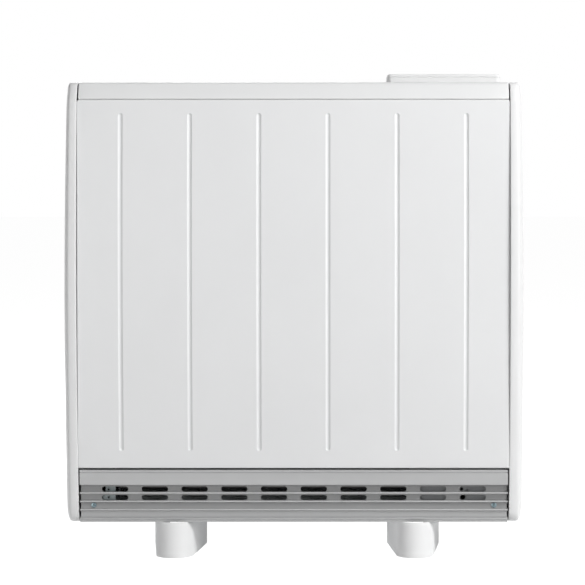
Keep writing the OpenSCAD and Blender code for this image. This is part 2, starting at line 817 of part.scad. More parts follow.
module core_brick_6() {
    core_brick(2, 1);
}
module core_brick_7() {
    core_brick(3, 0);
}
module core_brick_8() {
    core_brick(3, 1);
}

// One heating rod with a collar and a flat tag at each end
module heating_element(k) {
    z = core_z0 + k * row_pitch;
    collar = 6;
    color(steel_grey) {
        rod_path(z, rod_r);
        for (side = [-1, 1]) {
            y = core_y + side * rod_span / 2;
            rod_x(wall_x + sheet_t + press, wall_x + sheet_t + collar, y, z, rod_r + 2);
            block([rod_exit_x - eps, y - rod_r / 2, z - 0.5], [rod_exit_x + 9, y + rod_r / 2, z + 0.5]);
        }
    }
}
module heating_element_1() {
    heating_element(1);
}
module heating_element_2() {
    heating_element(2);
}
module heating_element_3() {
    heating_element(3);
}

// Scroll of the blower: a round back, a straight roof towards the outlet and a tongue below it
module scroll_section() {
    wall = 1;
    tongue_y = rotor_r * 0.9;
    tongue_z = -rotor_r * 0.75;
    tongue_drop = 12;
    translate([fan_y, fan_z]) {
        intersection() {
            difference() {
                circle(r = scroll_r + wall, $fn = fine * 2);
                circle(r = scroll_r, $fn = fine * 2);
            }
            polygon([[0, 0], [0, 2 * scroll_r], [2 * scroll_r, 2 * scroll_r], [2 * scroll_r, -scroll_r]]);
        }
        translate([-scroll_r, scroll_r]) square([scroll_r + eps, wall]);
        translate([-scroll_r, tongue_z]) square([scroll_r - tongue_y, wall]);
        translate([-tongue_y - wall, tongue_z - tongue_drop]) square([wall, tongue_drop + eps]);
    }
}
module fan_housing() {
    lug = 4;
    cheek_t = 1;
    cheek_hole_r = rotor_r - 6;
    x0 = bracket_x + sheet_t + press;
    x1 = plate_x - press;
    color(steel_grey) difference() {
        union() {
            along_x(x0, x1) scroll_section();
            for (x = [x0, x1 - cheek_t]) along_x(x, x + cheek_t) difference() {
                translate([fan_y, fan_z]) circle(r = scroll_r + cheek_t / 2, $fn = fine * 2);
                translate([fan_y, fan_z]) circle(r = cheek_hole_r, $fn = fine);
            }
            block([x0, fan_y - lug, fan_z + scroll_r + 1 - eps], [x1, fan_y + lug, shelf_z - press]);
        }
        for (i = [0, 1]) translate([core_x0 + (i + 0.5) * brick_w, fan_y, fan_z + scroll_r - cut]) {
            linear_extrude(shelf_z - fan_z) slot_2d(channel_w + 30, 3 * lug);
        }
    }
}

// Rotor: rows of curved blades between discs
module fan_rotor() {
    disc_n = 5;
    disc_t = 1.5;
    span = rotor_x1 - rotor_x0;
    color([0.78, 0.79, 0.80]) translate([rotor_x0, fan_y, fan_z]) rotate([90, 0, 90]) {
        difference() {
            for (i = [0 : disc_n - 1]) translate([0, 0, i * (span - disc_t) / (disc_n - 1)]) {
                cylinder(h = disc_t, r = rotor_r - 1, $fn = fine * 2);
            }
            translate([0, 0, -cut]) cylinder(h = span + 2 * cut, r = shaft_r + press, $fn = fine);
        }
        linear_extrude(span) for (i = [0 : blade_n - 1]) rotate([0, 0, i * 360 / blade_n]) blade();
    }
}
module blade() {
    root_r = rotor_r * 0.74;
    mid_r = rotor_r * 0.88;
    polygon([
        [root_r, 0], [mid_r, 1.2], [rotor_r, 3.4],
        [rotor_r - 0.1, 3.4 + blade_t], [mid_r - 0.3, 1.2 + blade_t], [root_r, blade_t]
    ]);
}
module fan_shaft() {
    color([0.80, 0.80, 0.80]) rod_x(bracket_x - 6, plate_x + 34, fan_y, fan_z, shaft_r);
}
module fan_bearings() {
    color([0.62, 0.50, 0.30]) for (x = [bracket_x + (sheet_t - bearing_l) / 2, plate_x + (sheet_t - bearing_l) / 2]) {
        difference() {
            rod_x(x, x + bearing_l, fan_y, fan_z, bearing_r);
            rod_x(x - cut, x + bearing_l + cut, fan_y, fan_z, shaft_r + running);
        }
    }
}

// Cross-section of the plate that carries one end of the blower and of the damper
module carrier_section(z0) {
    difference() {
        translate([damper_y - 9, z0]) square([fan_y + 34 - damper_y + 9, shelf_z - press - z0]);
        translate([fan_y, fan_z]) circle(r = bearing_r + press, $fn = fine);
        translate([damper_y, damper_z]) circle(r = pin_r + running, $fn = fine);
    }
}

// Galvanised bracket at the left end, its front flange pierced with small holes
module fan_bracket() {
    z0 = floor_z + press;
    flange_w = 18.5;
    notch_w = 4.6;
    hole_r = 1.6;
    color(steel_grey) difference() {
        union() {
            along_x(bracket_x, bracket_x + sheet_t) carrier_section(z0);
            block([bracket_x - flange_w, damper_y - 9 - sheet_t, z0 + 26],
                [bracket_x + sheet_t, damper_y - 9 + eps, shelf_z - 2 * flange]);
            block([bracket_x - flange_w, fan_y - 8, z0], [bracket_x + eps, fan_y + 24, z0 + sheet_t]);
        }
        for (z = [first_fin_z - 7, first_fin_z + 5]) {
            rod_y(damper_y - 9 - 2 * sheet_t, damper_y - 8, bracket_x - flange_w / 2, z, hole_r);
        }
        block([bracket_x - flange_w - cut, damper_y - 9 - 2 * sheet_t, first_fin_z],
            [bracket_x - flange_w + notch_w, damper_y - 9 + sheet_t, shelf_z]);
    }
}

// Round holes in the control plate: distance from its left edge, height over the first fin, radius
plate_holes = [[82.6, -6.8, 4], [89.6, 3.9, 1.6], [80.6, 5.2, 2.4]];

// Plate at the right end: it carries motor and damper, and closes the wiring space towards the grille
module control_plate() {
    z0 = floor_z + press;
    x1 = side_x - sheet_t - slack;
    y0 = damper_y - 9;
    color([0.45, 0.46, 0.46]) difference() {
        union() {
            along_x(plate_x, plate_x + sheet_t) carrier_section(z0);
            block([plate_x, y0, z0], [x1, y0 + sheet_t, shelf_z - flange - press]);
        }
        for (p = plate_holes) {
            rod_y(y0 - cut, y0 + 2 * sheet_t, plate_x + p[0], first_fin_z + p[1], p[2]);
        }
        rod_y(y0 - cut, y0 + 2 * sheet_t, grille_screw_x, grille_screw_z, screw_r + slack);
    }
}

// Shaded-pole motor: a laminated stack with a coil, bored for the shaft
module fan_motor() {
    x0 = plate_x + 2 * sheet_t + bearing_l / 2 + 2;
    stack_t = 22;
    half = 24;
    color([0.35, 0.35, 0.37]) difference() {
        union() {
            translate([x0, fan_y, fan_z]) rotate([90, 0, 90]) linear_extrude(stack_t) {
                round_rect(2 * half, 2 * half, 6);
            }
            rod_z(fan_z - half - 14, fan_z - half + 2, x0 + stack_t / 2, fan_y, 10);
            for (side = [-1, 1]) rod_x(plate_x + sheet_t + press, x0 + eps, fan_y + side * 18, fan_z + 16, 3);
        }
        rod_x(x0 - cut, x0 + stack_t + cut, fan_y, fan_z, shaft_r + running);
    }
}

// Damper plate that hangs from two pins in the outlet
module mixing_damper() {
    tube_r = 3.5;
    color(steel_grey) {
        rod_x(damper_x0, damper_x1, damper_y, damper_z, tube_r);
        block([damper_x0 + 2, damper_y - sheet_t / 2, damper_z - damper_h], [damper_x1 - 2, damper_y + sheet_t / 2, damper_z]);
        rod_x(bracket_x - 3, damper_x0 + eps, damper_y, damper_z, pin_r);
        rod_x(damper_x1 - eps, plate_x + 12, damper_y, damper_z, pin_r);
    }
}
module damper_actuator() {
    x0 = plate_x + sheet_t + press;
    color(dark) difference() {
        union() {
            rod_x(x0, x0 + 18, damper_y + 10, damper_z - 8, 17);
            rod_x(x0, x0 + 18, damper_y, damper_z, 6);
        }
        rod_x(x0 - cut, x0 + 12.5, damper_y, damper_z, pin_r + running);
    }
}

// Row of screw terminals on the compartment's wall
terminal_z = gland_z + 120;
module terminal_block() {
    way = 12;
    way_n = 5;
    x0 = wall_x + sheet_t + press;
    color([0.86, 0.85, 0.80]) difference() {
        block([x0, core_y - 10, terminal_z], [x0 + 18, core_y + 14, terminal_z + way * way_n]);
        for (i = [0 : way_n - 1]) {
            rod_x(x0 + 12, x0 + 19, core_y - 4, terminal_z + (i + 0.5) * way, 2.5);
            rod_x(x0 + 12, x0 + 19, core_y + 8, terminal_z + (i + 0.5) * way, 2.5);
        }
    }
}

// Manual-reset thermal cut-out with its button
cutout_z = core_z0 + 2.5 * row_pitch;
cutout_l = 16;
reset_r = 3;
module thermal_cutout() {
    x0 = wall_x + sheet_t + press;
    color(dark) difference() {
        union() {
            rod_x(x0, x0 + cutout_l, core_y, cutout_z, 13);
            block([x0, core_y - 24, cutout_z - 6], [x0 + 2, core_y + 24, cutout_z + 6]);
        }
        rod_x(x0 + cutout_l - 6, x0 + cutout_l + cut, core_y, cutout_z, reset_r + slack);
    }
}
module reset_button() {
    x0 = wall_x + sheet_t + press + cutout_l;
    color([0.75, 0.15, 0.12]) rod_x(x0 - 6 + button_travel + slack, x0 + 2, core_y, cutout_z, reset_r);
}

// Temperature probe in the top row
module core_sensor() {
    tail_l = 12;
    head_l = 5;
    color(steel_grey) {
        rod_x(core_x1 - sensor_depth + slack, wall_x + sheet_t + tail_l, core_y, sensor_z, sensor_r);
        rod_x(wall_x + sheet_t + press, wall_x + sheet_t + head_l, core_y, sensor_z, 2 * sensor_r);
    }
}

// Control board on four pillars, with a relay and a transformer
board_lift = 20;
board_z = core_z0 + 3 * row_pitch + board_lift;
board_h = 110;
board_w = 50;
module control_board() {
    pillar_l = 8;
    pillar_r = 3;
    pillar_in = 6;
    board_t = 1.6;
    relay = [16, 18, 20];
    transformer = [12, 24, 30];
    x0 = wall_x + sheet_t + press;
    x1 = x0 + pillar_l + board_t;
    y1 = rear_insulation_y + pillar_in;
    y0 = y1 - board_w;
    z1 = board_z + board_h;
    relay_at = [x1 - eps, y0 + pillar_l, board_z + board_h / 5];
    transformer_at = [x1 - eps, y0 + pillar_l, board_z + board_h / 2];
    color([0.16, 0.36, 0.20]) {
        block([x0 + pillar_l, y0, board_z], [x1, y1, z1]);
        for (y = [y0 + pillar_in, y1 - pillar_in], z = [board_z + pillar_in, z1 - pillar_in]) {
            rod_x(x0, x0 + pillar_l + eps, y, z, pillar_r);
        }
        block(relay_at, relay_at + relay);
        block(transformer_at, transformer_at + transformer);
    }
}

// Cable gland in the rear panel: the supply cable's way in
cable_r = 5;
module cable_gland() {
    body_l = 16;
    color(dark) difference() {
        union() {
            rod_y(back_y - body_l, back_y + 2, gland_x, gland_z, gland_r);
            rod_y(back_y + press, back_y + 6, gland_x, gland_z, gland_r + 4);
            rod_y(back_y - sheet_t - 5, back_y - sheet_t - press, gland_x, gland_z, gland_r + 3);
        }
        rod_y(back_y - body_l - cut, back_y + 6 + cut, gland_x, gland_z, cable_r);
    }
}

// Wiring in its sleeves: from the terminals up to the board and down to the motor
module wiring_loom() {
    z_low = fan_z + 4;
    z_high = board_z - 6;
    bend_r = 12;
    board_drop = 8;
    terminal_rise = 20;
    color([0.25, 0.25, 0.27]) {
        rod_z(z_low + bend_r, z_high, loom_x, loom_y, loom_r);
        translate([loom_x, loom_y - bend_r, z_low + bend_r]) rotate([0, 90, 0]) {
            rotate_extrude(angle = 90, $fn = fine * 2) translate([bend_r, 0]) circle(r = loom_r, $fn = coarse);
        }
        rod_x(wall_x + sheet_t + press, loom_x, loom_y, z_high - board_drop, loom_r * 0.6);
        rod_x(wall_x + sheet_t + press, loom_x, loom_y, terminal_z + terminal_rise, loom_r * 0.6);
    }
}

// Lower shell of the control pod: a hollow tray on the lid with slightly barrelled ends
module pod_base() {
    z0 = case_h + press;
    z1 = fascia_z - press;
    color(steel_white) translate([pod_x, pod_y, 0]) difference() {
        translate([0, 0, z0]) linear_extrude(z1 - z0) round_rect(pod_w, pod_d, pod_corner_r);
        translate([0, 0, z0 + 2.5]) linear_extrude(z1 - z0) {
            round_rect(pod_w - 5, pod_d - 5, pod_corner_r - 2.5);
        }
        for (side = [-1, 1]) translate([side * pod_screw_x, 0, z0 - cut]) {
            cylinder(h = z1 - z0 + 2 * cut, r = screw_hole_r, $fn = fine);
        }
        translate([0, 0, z0 - cut]) cylinder(h = z1 - z0, r = pod_wire_r, $fn = fine);
    }
}

// Upper shell of the pod, with a window and button holes
module pod_fascia() {
    color(steel_white) difference() {
        union() {
            translate([pod_x, pod_y, fascia_z]) {
                linear_extrude(fascia_t - 1) round_rect(pod_w, pod_d, pod_corner_r);
                linear_extrude(fascia_t) round_rect(pod_w - 2, pod_d - 2, pod_corner_r - 1);
            }
        }
        translate([pod_x, pod_y, fascia_z - cut]) {
            linear_extrude(fascia_t - 2 + cut) round_rect(pod_w - 5, pod_d - 5, pod_corner_r - 2.5);
        }
        translate([window_x, button_y, pod_z1 - window_t]) {
            linear_extrude(window_t + cut) round_rect(window_w, window_d, 3);
        }
        for (i = [0 : 2]) rod_z(fascia_z - cut, pod_z1 + cut, button_x(i), button_y, button_r + slack);
    }
}
function button_x(i) = pod_x + 26 + i * button_pitch;

module display_window() {
    color([0.08, 0.09, 0.10]) translate([window_x, button_y, pod_z1 - window_t + press]) {
        linear_extrude(window_t) round_rect(window_w - 2 * slack, window_d - 2 * slack, 3 - slack);
    }
}

// One push button: a cap in its hole over a foot on the tray's floor
module push_button(i) {
    skirt_z = pod_z1 - 2 - slack;
    stem_z = case_h + 2.5 + button_travel + 2 * slack;
    color([0.55, 0.56, 0.58]) {
        rod_z(skirt_z - 1, pod_z1 + button_rise, button_x(i), button_y, button_r);
        rod_z(skirt_z - 1, skirt_z, button_x(i), button_y, button_r + 1.5);
        rod_z(stem_z, skirt_z, button_x(i), button_y, 2);
    }
}
module button_down() {
    push_button(0);
}
module button_select() {
    push_button(1);
}
module button_up() {
    push_button(2);
}

// Stand-off that keeps the case clear of the wall, bored for the wall screw
module wall_spacer(x) {
    color(dark) difference() {
        rod_y(back_y + press, rear_y, x, spacer_z, spacer_r);
        rod_y(back_y - cut, rear_y + cut, x, spacer_z, spacer_hole_r);
    }
}
module wall_spacer_left() {
    wall_spacer(-spacer_x);
}
module wall_spacer_right() {
    wall_spacer(spacer_x);
}

// Screws of the lid, the rear panel and the pod
module case_screws() {
    color(steel_grey) {
        for (side = [-1, 1]) {
            translate([side * lid_screw_x, lid_back_y + press, lid_screw_z]) rotate([-90, 0, 0]) screw();
            translate([side * lid_screw_x, back_y + press, rear_screw_z]) rotate([-90, 0, 0]) screw();
            translate([pod_x + side * pod_screw_x, pod_y, case_h + 2.5 + 2 * press]) screw();
        }
    }
}

front_panel();
lid();
end_cap_left();
end_cap_right();
rear_panel();
side_panel_left();
side_panel_right();
base_tray();
outlet_grille();
grille_screws();
foot_left();
foot_right();
foot_frame_left();
foot_frame_right();
foot_screws();
inner_front_panel();
core_shelf();
compartment_wall();
insulation_front();
insulation_rear();
insulation_left();
insulation_right();
insulation_top();
insulation_base();
core_brick_1();
core_brick_2();
core_brick_3();
core_brick_4();
core_brick_5();
core_brick_6();
core_brick_7();
core_brick_8();
heating_element_1();
heating_element_2();
heating_element_3();
fan_housing();
fan_rotor();
fan_shaft();
fan_bearings();
fan_bracket();
fan_motor();
mixing_damper();
damper_actuator();
control_plate();
terminal_block();
thermal_cutout();
reset_button();
core_sensor();
control_board();
cable_gland();
pod_base();
pod_fascia();
display_window();
button_down();
button_select();
button_up();
wall_spacer_left();
wall_spacer_right();
case_screws();
wiring_loom();
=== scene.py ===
import json
import math

import bmesh
import bpy
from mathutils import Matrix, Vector


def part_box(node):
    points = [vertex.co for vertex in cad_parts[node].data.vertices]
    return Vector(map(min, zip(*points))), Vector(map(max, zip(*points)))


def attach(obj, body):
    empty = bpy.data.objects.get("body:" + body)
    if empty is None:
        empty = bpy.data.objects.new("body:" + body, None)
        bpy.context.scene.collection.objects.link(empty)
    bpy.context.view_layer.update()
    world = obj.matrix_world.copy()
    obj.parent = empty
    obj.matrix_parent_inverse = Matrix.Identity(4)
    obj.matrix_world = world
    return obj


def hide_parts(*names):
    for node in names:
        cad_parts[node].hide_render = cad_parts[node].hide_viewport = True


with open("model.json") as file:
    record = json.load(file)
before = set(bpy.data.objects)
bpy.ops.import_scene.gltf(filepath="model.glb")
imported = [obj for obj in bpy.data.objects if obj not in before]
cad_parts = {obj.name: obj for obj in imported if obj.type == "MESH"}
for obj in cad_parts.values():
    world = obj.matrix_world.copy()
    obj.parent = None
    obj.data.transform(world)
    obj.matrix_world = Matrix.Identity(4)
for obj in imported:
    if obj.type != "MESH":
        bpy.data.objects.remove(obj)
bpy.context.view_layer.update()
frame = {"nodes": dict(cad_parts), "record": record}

MM = 0.001
WHITE = (1.0, 1.0, 1.0, 1.0)


def low(node):
    """Lowest corner of a solid, in millimetres."""
    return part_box(node)[0] / MM


def high(node):
    """Highest corner of a solid, in millimetres."""
    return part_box(node)[1] / MM


# ---------------------------------------------------------------- node trees


class Net:
    """A node tree that is written as nested calls."""

    def __init__(self, tree):
        self.tree = tree

    def feed(self, socket, value):
        """Links or sets one socket."""
        if isinstance(value, bpy.types.NodeSocket):
            self.tree.links.new(value, socket)
        elif value is not None:
            socket.default_value = value

    def add(self, kind, inputs=None, **settings):
        """A new node with its settings and inputs."""
        node = self.tree.nodes.new(kind)
        for name, value in settings.items():
            setattr(node, name, value)
        for key, value in (inputs or {}).items():
            for one in value if isinstance(value, list) else [value]:
                self.feed(node.inputs[key], one)
        return node

    def math(self, operation, *values):
        """The result of one sum on numbers or sockets."""
        node = self.add("ShaderNodeMath", operation=operation)
        for socket, value in zip(node.inputs, values):
            self.feed(socket, value)
        return node.outputs[0]

    def xyz(self, x=0.0, y=0.0, z=0.0):
        """A vector from three numbers or sockets."""
        return self.add("ShaderNodeCombineXYZ", {0: x, 1: y, 2: z}).outputs[0]

    def moved(self, geometry, offset=None, turn=None):
        """Geometry shifted and turned."""
        node = self.add("GeometryNodeTransform", {"Geometry": geometry})
        self.feed(node.inputs["Translation"], offset)
        self.feed(node.inputs["Rotation"], turn)
        return node.outputs[0]

    def joined(self, *parts):
        """Several geometries as one."""
        return self.add("GeometryNodeJoinGeometry", {0: list(parts)}).outputs[0]

    def cut_from(self, body, *cutters):
        """A body with other shapes cut out of it."""
        node = self.add("GeometryNodeMeshBoolean", {0: body, 1: list(cutters)}, operation="DIFFERENCE")
        return node.outputs["Mesh"]


def shape_tree(name, sizes):
    """An empty Geometry Nodes tree with one named input for each size."""
    tree = bpy.data.node_groups.new(name, "GeometryNodeTree")
    tree.interface.new_socket("Geometry", in_out="INPUT", socket_type="NodeSocketGeometry")
    tree.interface.new_socket("Geometry", in_out="OUTPUT", socket_type="NodeSocketGeometry")
    for label, value in sizes.items():
        kind = "NodeSocketInt" if isinstance(value, int) else "NodeSocketFloat"
        tree.interface.new_socket(label, in_out="INPUT", socket_type=kind)
    net = Net(tree)
    return net, net.add("NodeGroupInput").outputs, net.add("NodeGroupOutput").inputs[0]


def end_tree(net, result, geometry, material):
    """Ends a tree in plain geometry with its material on."""
    real = net.add("GeometryNodeRealizeInstances", {0: geometry}).outputs[0]
    node = net.add("GeometryNodeSetMaterial", {"Geometry": real})
    node.inputs["Material"].default_value = material
    net.feed(result, node.outputs[0])


def baked(obj):
    """Turns an object's modifiers into its plain mesh."""
    depsgraph = bpy.context.evaluated_depsgraph_get()
    mesh = bpy.data.meshes.new_from_object(obj.evaluated_get(depsgraph))
    obj.modifiers.clear()
    spent, obj.data = obj.data, mesh
    bpy.data.meshes.remove(spent)
    mesh.name = obj.name
    return obj


def run_tree(obj, tree, sizes):
    """Runs a Geometry Nodes tree on an object with the given sizes and bakes it."""
    modifier = obj.modifiers.new(tree.name, "NODES")
    modifier.node_group = tree
    for item in tree.interface.items_tree:
        if item.in_out == "INPUT" and item.name in sizes:
            modifier[item.identifier] = sizes[item.name]
    return baked(obj)


# ---------------------------------------------------------------- meshes


def shape(name, points, faces, material=None):
    """A mesh object from points in millimetres."""
    mesh = bpy.data.meshes.new(name)
    mesh.from_pydata([tuple(c * MM for c in p) for p in points], [], faces)
    mesh.validate()
    obj = bpy.data.objects.new(name, mesh)
    bpy.context.scene.collection.objects.link(obj)
    if material:
        mesh.materials.append(material)
    return obj


def sheet_grid(rows):
    """Points and faces of a surface given as rows of points."""
    wide = len(rows[0])
    faces = [
        (r * wide + c, r * wide + c + 1, (r + 1) * wide + c + 1, (r + 1) * wide + c)
        for r in range(len(rows) - 1)
        for c in range(wide - 1)
    ]
    return [p for row in rows for p in row], faces


def closed_loops(loops):
    """Points and faces of a closed skin over a stack of equal loops."""
    n = len(loops[0])
    faces = [
        (k * n + i, k * n + (i + 1) % n, (k + 1) * n + (i + 1) % n, (k + 1) * n + i)
        for k in range(len(loops) - 1)
        for i in range(n)
    ]
    faces.append(tuple(reversed(range(n))))
    faces.append(tuple((len(loops) - 1) * n + i for i in range(n)))
    return [p for loop in loops for p in loop], faces


def arc(cy, cz, r, start, stop, steps):
    """Points of an arc, angles in degrees."""
    angles = [math.radians(start + (stop - start) * i / steps) for i in range(steps + 1)]
    return [(cy + r * math.cos(a), cz + r * math.sin(a)) for a in angles]


def outward(obj):
    """Merges doubled points and makes a shape's faces turn outwards together."""
    work = bmesh.new()
    work.from_mesh(obj.data)
    bmesh.ops.remove_doubles(work, verts=work.verts, dist=0.002 * MM)
    bmesh.ops.recalc_face_normals(work, faces=work.faces)
    work.to_mesh(obj.data)
    work.free()
    return obj


def wall(obj, thickness, side=-1.0, even=True):
    """Gives a skin its thickness, by default on the side that its faces turn away from."""
    modifier = obj.modifiers.new("wall", "SOLIDIFY")
    modifier.thickness = thickness * MM
    modifier.offset = side
    modifier.use_even_offset = even
    return obj


def cut_by(obj, *cutters):
    """Cuts other shapes out of a shape and discards them."""
    for cutter in cutters:
        outward(cutter)
        modifier = obj.modifiers.new("cut", "BOOLEAN")
        modifier.operation = "DIFFERENCE"
        modifier.solver = "EXACT"
        modifier.object = cutter
    baked(obj)
    for cutter in cutters:
        bpy.data.objects.remove(cutter)
    return obj


def softened(obj, width, angle=40, steps=2):
    """Rounds the sharp edges of a shape."""
    modifier = obj.modifiers.new("edges", "BEVEL")
    modifier.width = width * MM
    modifier.segments = steps
    modifier.limit_method = "ANGLE"
    modifier.angle_limit = math.radians(angle)
    return obj


def smooth(obj, angle=32):
    """Shades a mesh smooth up to an edge angle."""
    mesh = obj.data
    mesh.polygons.foreach_set("use_smooth", [True] * len(mesh.polygons))
    mesh.set_sharp_from_angle(angle=math.radians(angle))
    return obj


def dress(obj, body, slot, *nodes):
    """Seats a finished piece on its body in place of its solids."""
    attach(obj, body)
    if nodes:
        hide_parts(*nodes)
    return obj


# ---------------------------------------------------------------- finishes


def finish_net(name):
    """A new material: its net, its shader and the object's own coordinates."""
    material = bpy.data.materials.new(name)
    material.use_nodes = True
    net = Net(material.node_tree)
    shader = material.node_tree.nodes["Principled BSDF"]
    place = net.add("ShaderNodeTexCoord").outputs["Object"]
    return material, net, shader, place


def grain(net, place, scale, stretch=(1.0, 1.0, 1.0), detail=2.0, roughness=0.5):
    """Noise over the object's own coordinates, finer as scale grows."""
    spread = net.add("ShaderNodeMapping", {"Vector": place, "Scale": stretch}).outputs[0]
    sockets = {"Vector": spread, "Scale": scale, "Detail": detail, "Roughness": roughness}
    node = net.add("ShaderNodeTexNoise", sockets)
    return node.outputs["Fac"]


def between(net, value, first, last, low_in=0.3, high_in=0.7):
    """Spreads a noise value over two numbers."""
    node = net.add("ShaderNodeMapRange", {"Value": value, 1: low_in, 2: high_in, 3: first, 4: last})
    return node.outputs[0]


def tinted(net, value, dark, light, low_in=0.3, high_in=0.7):
    """Spreads a noise value over two colours."""
    ramp = net.add("ShaderNodeValToRGB", {"Fac": value})
    first, last = ramp.color_ramp.elements
    first.position, last.position = low_in, high_in
    first.color, last.color = (*dark, 1.0), (*light, 1.0)
    return ramp.outputs["Color"]


def relief(net, shader, height, depth, strength=1.0):
    """Bumps a surface by a height value, depth in millimetres."""
    node = net.add("ShaderNodeBump", {"Height": height, "Strength": strength, "Distance": depth * MM})
    net.feed(shader.inputs["Normal"], node.outputs[0])


def coated(name, tone, roughness=0.42, peel=0.05, peel_scale=650.0, spread=0.012, gloss=0.5):
    """Paint or plastic: an even tone with faint clouds, orange peel and a fine change of gloss."""
    material, net, shader, place = finish_net(name)
    clouds = grain(net, place, 6.0, detail=3.0)
    dark = tuple(c * (1 - spread) for c in tone)
    light = tuple(c * (1 + spread) for c in tone)
    net.feed(shader.inputs["Base Color"], tinted(net, clouds, dark, light))
    skin = grain(net, place, peel_scale, detail=2.0)
    net.feed(shader.inputs["Roughness"], between(net, skin, roughness - 0.03, roughness + 0.04))
    shader.inputs["Specular IOR Level"].default_value = gloss
    relief(net, shader, skin, peel)
    return material


def galvanised_sheet(name, dark, light):
    """Zinc-coated steel with crystals of slightly different grey."""
    material, net, shader, place = finish_net(name)
    warp = net.add("ShaderNodeTexNoise", {"Vector": place, "Scale": 60.0, "Detail": 2.0}).outputs["Color"]
    bent = net.add("ShaderNodeMix", {0: 0.012, "A": place, "B": warp}, data_type="VECTOR")
    cells = net.add("ShaderNodeTexVoronoi", {"Vector": bent.outputs[1], "Scale": 140.0})
    one = net.add("ShaderNodeSeparateColor", {0: cells.outputs["Color"]}).outputs[0]
    net.feed(shader.inputs["Base Color"], tinted(net, one, dark, light, 0.0, 1.0))
    net.feed(shader.inputs["Roughness"], between(net, one, 0.36, 0.5, 0.0, 1.0))
    shader.inputs["Metallic"].default_value = 0.35
    relief(net, shader, grain(net, place, 300.0), 0.02)
    return material


# Painted light and shade in the grille's colour, each as start, end and strength at both: painted shade deeper
# into the web, painted light below the top of the first recess, painted light towards the foot of the web,
# painted shade on the lip.
RECESS_PAINTED_SHADE = (3.5 * MM, 7.5 * MM, 1.0, 0.52)
LOWER_GRILLE_PAINTED_LIGHT = (0.109, 0.1085, 1.0, 1.08)
WEB_FOOT_PAINTED_LIGHT = (0.083, 0.068, 0.0, 0.36)
LIP_PAINTED_SHADE = (0.0632, 0.0648, 0.9, 1.02)


def drawn_aluminium(face_y):
    """Satin extruded aluminium with faint die lines, its colour carrying painted light and shade: painted shade
    deep in the recesses and on the lip, painted light lower down the grille and towards the foot of the web.

    Each painted light or shade is given as the height or depth where it starts, where it ends, and its strength
    at both.
    """
    material, net, shader, place = finish_net("drawn_aluminium")
    lines = grain(net, place, 900.0, stretch=(0.006, 1.0, 1.0), detail=3.0)
    tone = grain(net, place, 40.0, stretch=(0.05, 1.0, 1.0), detail=2.0)
    spot = net.add("ShaderNodeSeparateXYZ", {0: place}).outputs
    inward = net.math("SUBTRACT", spot[1], face_y * MM)

    def painted_ramp(value, start, stop, first, last):
        sockets = {"Value": value, 1: start, 2: stop, 3: first, 4: last}
        return net.add("ShaderNodeMapRange", sockets).outputs[0]

    # Painted shade and light multiplied into the metal's colour: darker deeper into the web, lighter below the
    # top of the first recess, lighter towards the web's foot, darker on the lip.
    sunk = painted_ramp(inward, *RECESS_PAINTED_SHADE)
    edges = painted_ramp(spot[2], *LOWER_GRILLE_PAINTED_LIGHT)
    web_foot_light = painted_ramp(spot[2], *WEB_FOOT_PAINTED_LIGHT)
    lip = painted_ramp(spot[2], *LIP_PAINTED_SHADE)
    lit = net.math("MINIMUM", net.math("ADD", net.math("MULTIPLY", sunk, edges), web_foot_light), edges)
    shade = net.math("MULTIPLY", lit, lip)
    metal = tinted(net, tone, (0.45, 0.453, 0.456), (0.49, 0.493, 0.495))
    shaded = net.add("ShaderNodeVectorMath", {0: metal, "Scale": shade}, operation="SCALE").outputs[0]
    net.feed(shader.inputs["Base Color"], shaded)
    net.feed(shader.inputs["Roughness"], between(net, lines, 0.34, 0.46))
    shader.inputs["Metallic"].default_value = 0.1
    relief(net, shader, lines, 0.012)
    return material


def bare_metal(name, dark, light, metallic=0.9, roughness=0.35, scale=400.0, stretch=(1.0, 1.0, 1.0)):
    """Bare or plated metal with fine rub marks."""
    material, net, shader, place = finish_net(name)
    marks = grain(net, place, scale, stretch=stretch, detail=3.0)
    net.feed(shader.inputs["Base Color"], tinted(net, marks, dark, light))
    net.feed(shader.inputs["Roughness"], between(net, marks, roughness - 0.06, roughness + 0.08))
    shader.inputs["Metallic"].default_value = metallic
    relief(net, shader, marks, 0.01)
    return material


def mineral(name, dark, light, scale, depth):
    """Brick or insulation: matt, speckled and pitted."""
    material, net, shader, place = finish_net(name)
    speckle = grain(net, place, scale, detail=5.0, roughness=0.65)
    net.feed(shader.inputs["Base Color"], tinted(net, speckle, dark, light))
    net.feed(shader.inputs["Roughness"], between(net, speckle, 0.85, 0.95))
    relief(net, shader, grain(net, place, scale * 3.0, detail=4.0), depth)
    return material


def dark_glass():
    """The display's smoked window with a faint haze."""
    material, net, shader, place = finish_net("dark_glass")
    haze = grain(net, place, 90.0)
    net.feed(shader.inputs["Base Color"], tinted(net, haze, (0.018, 0.020, 0.022), (0.026, 0.028, 0.031)))
    net.feed(shader.inputs["Roughness"], between(net, haze, 0.06, 0.1))
    return material


panel_paint = coated("panel_paint", (0.84, 0.845, 0.85), 0.40, 0.035)
lid_paint = coated("lid_paint", (0.845, 0.85, 0.852), 0.40, 0.035)
cap_plastic = coated("cap_plastic", (0.85, 0.852, 0.853), 0.40, 0.02, 900.0, gloss=0.3)
foot_plastic = coated("foot_plastic", (0.92, 0.922, 0.922), 0.45, 0.02, 900.0, gloss=0.12)
pod_plastic = coated("pod_plastic", (0.86, 0.862, 0.862), 0.38, 0.02, 1200.0)
button_plastic = coated("button_plastic", (0.42, 0.43, 0.45), 0.45, 0.02, 1200.0, 0.03)
black_plastic = coated("black_plastic", (0.035, 0.036, 0.038), 0.48, 0.03, 900.0, 0.15)
cream_plastic = coated("cream_plastic", (0.70, 0.67, 0.58), 0.45, 0.02, 900.0, 0.02)
red_plastic = coated("red_plastic", (0.50, 0.03, 0.025), 0.40, 0.02, 900.0, 0.04)
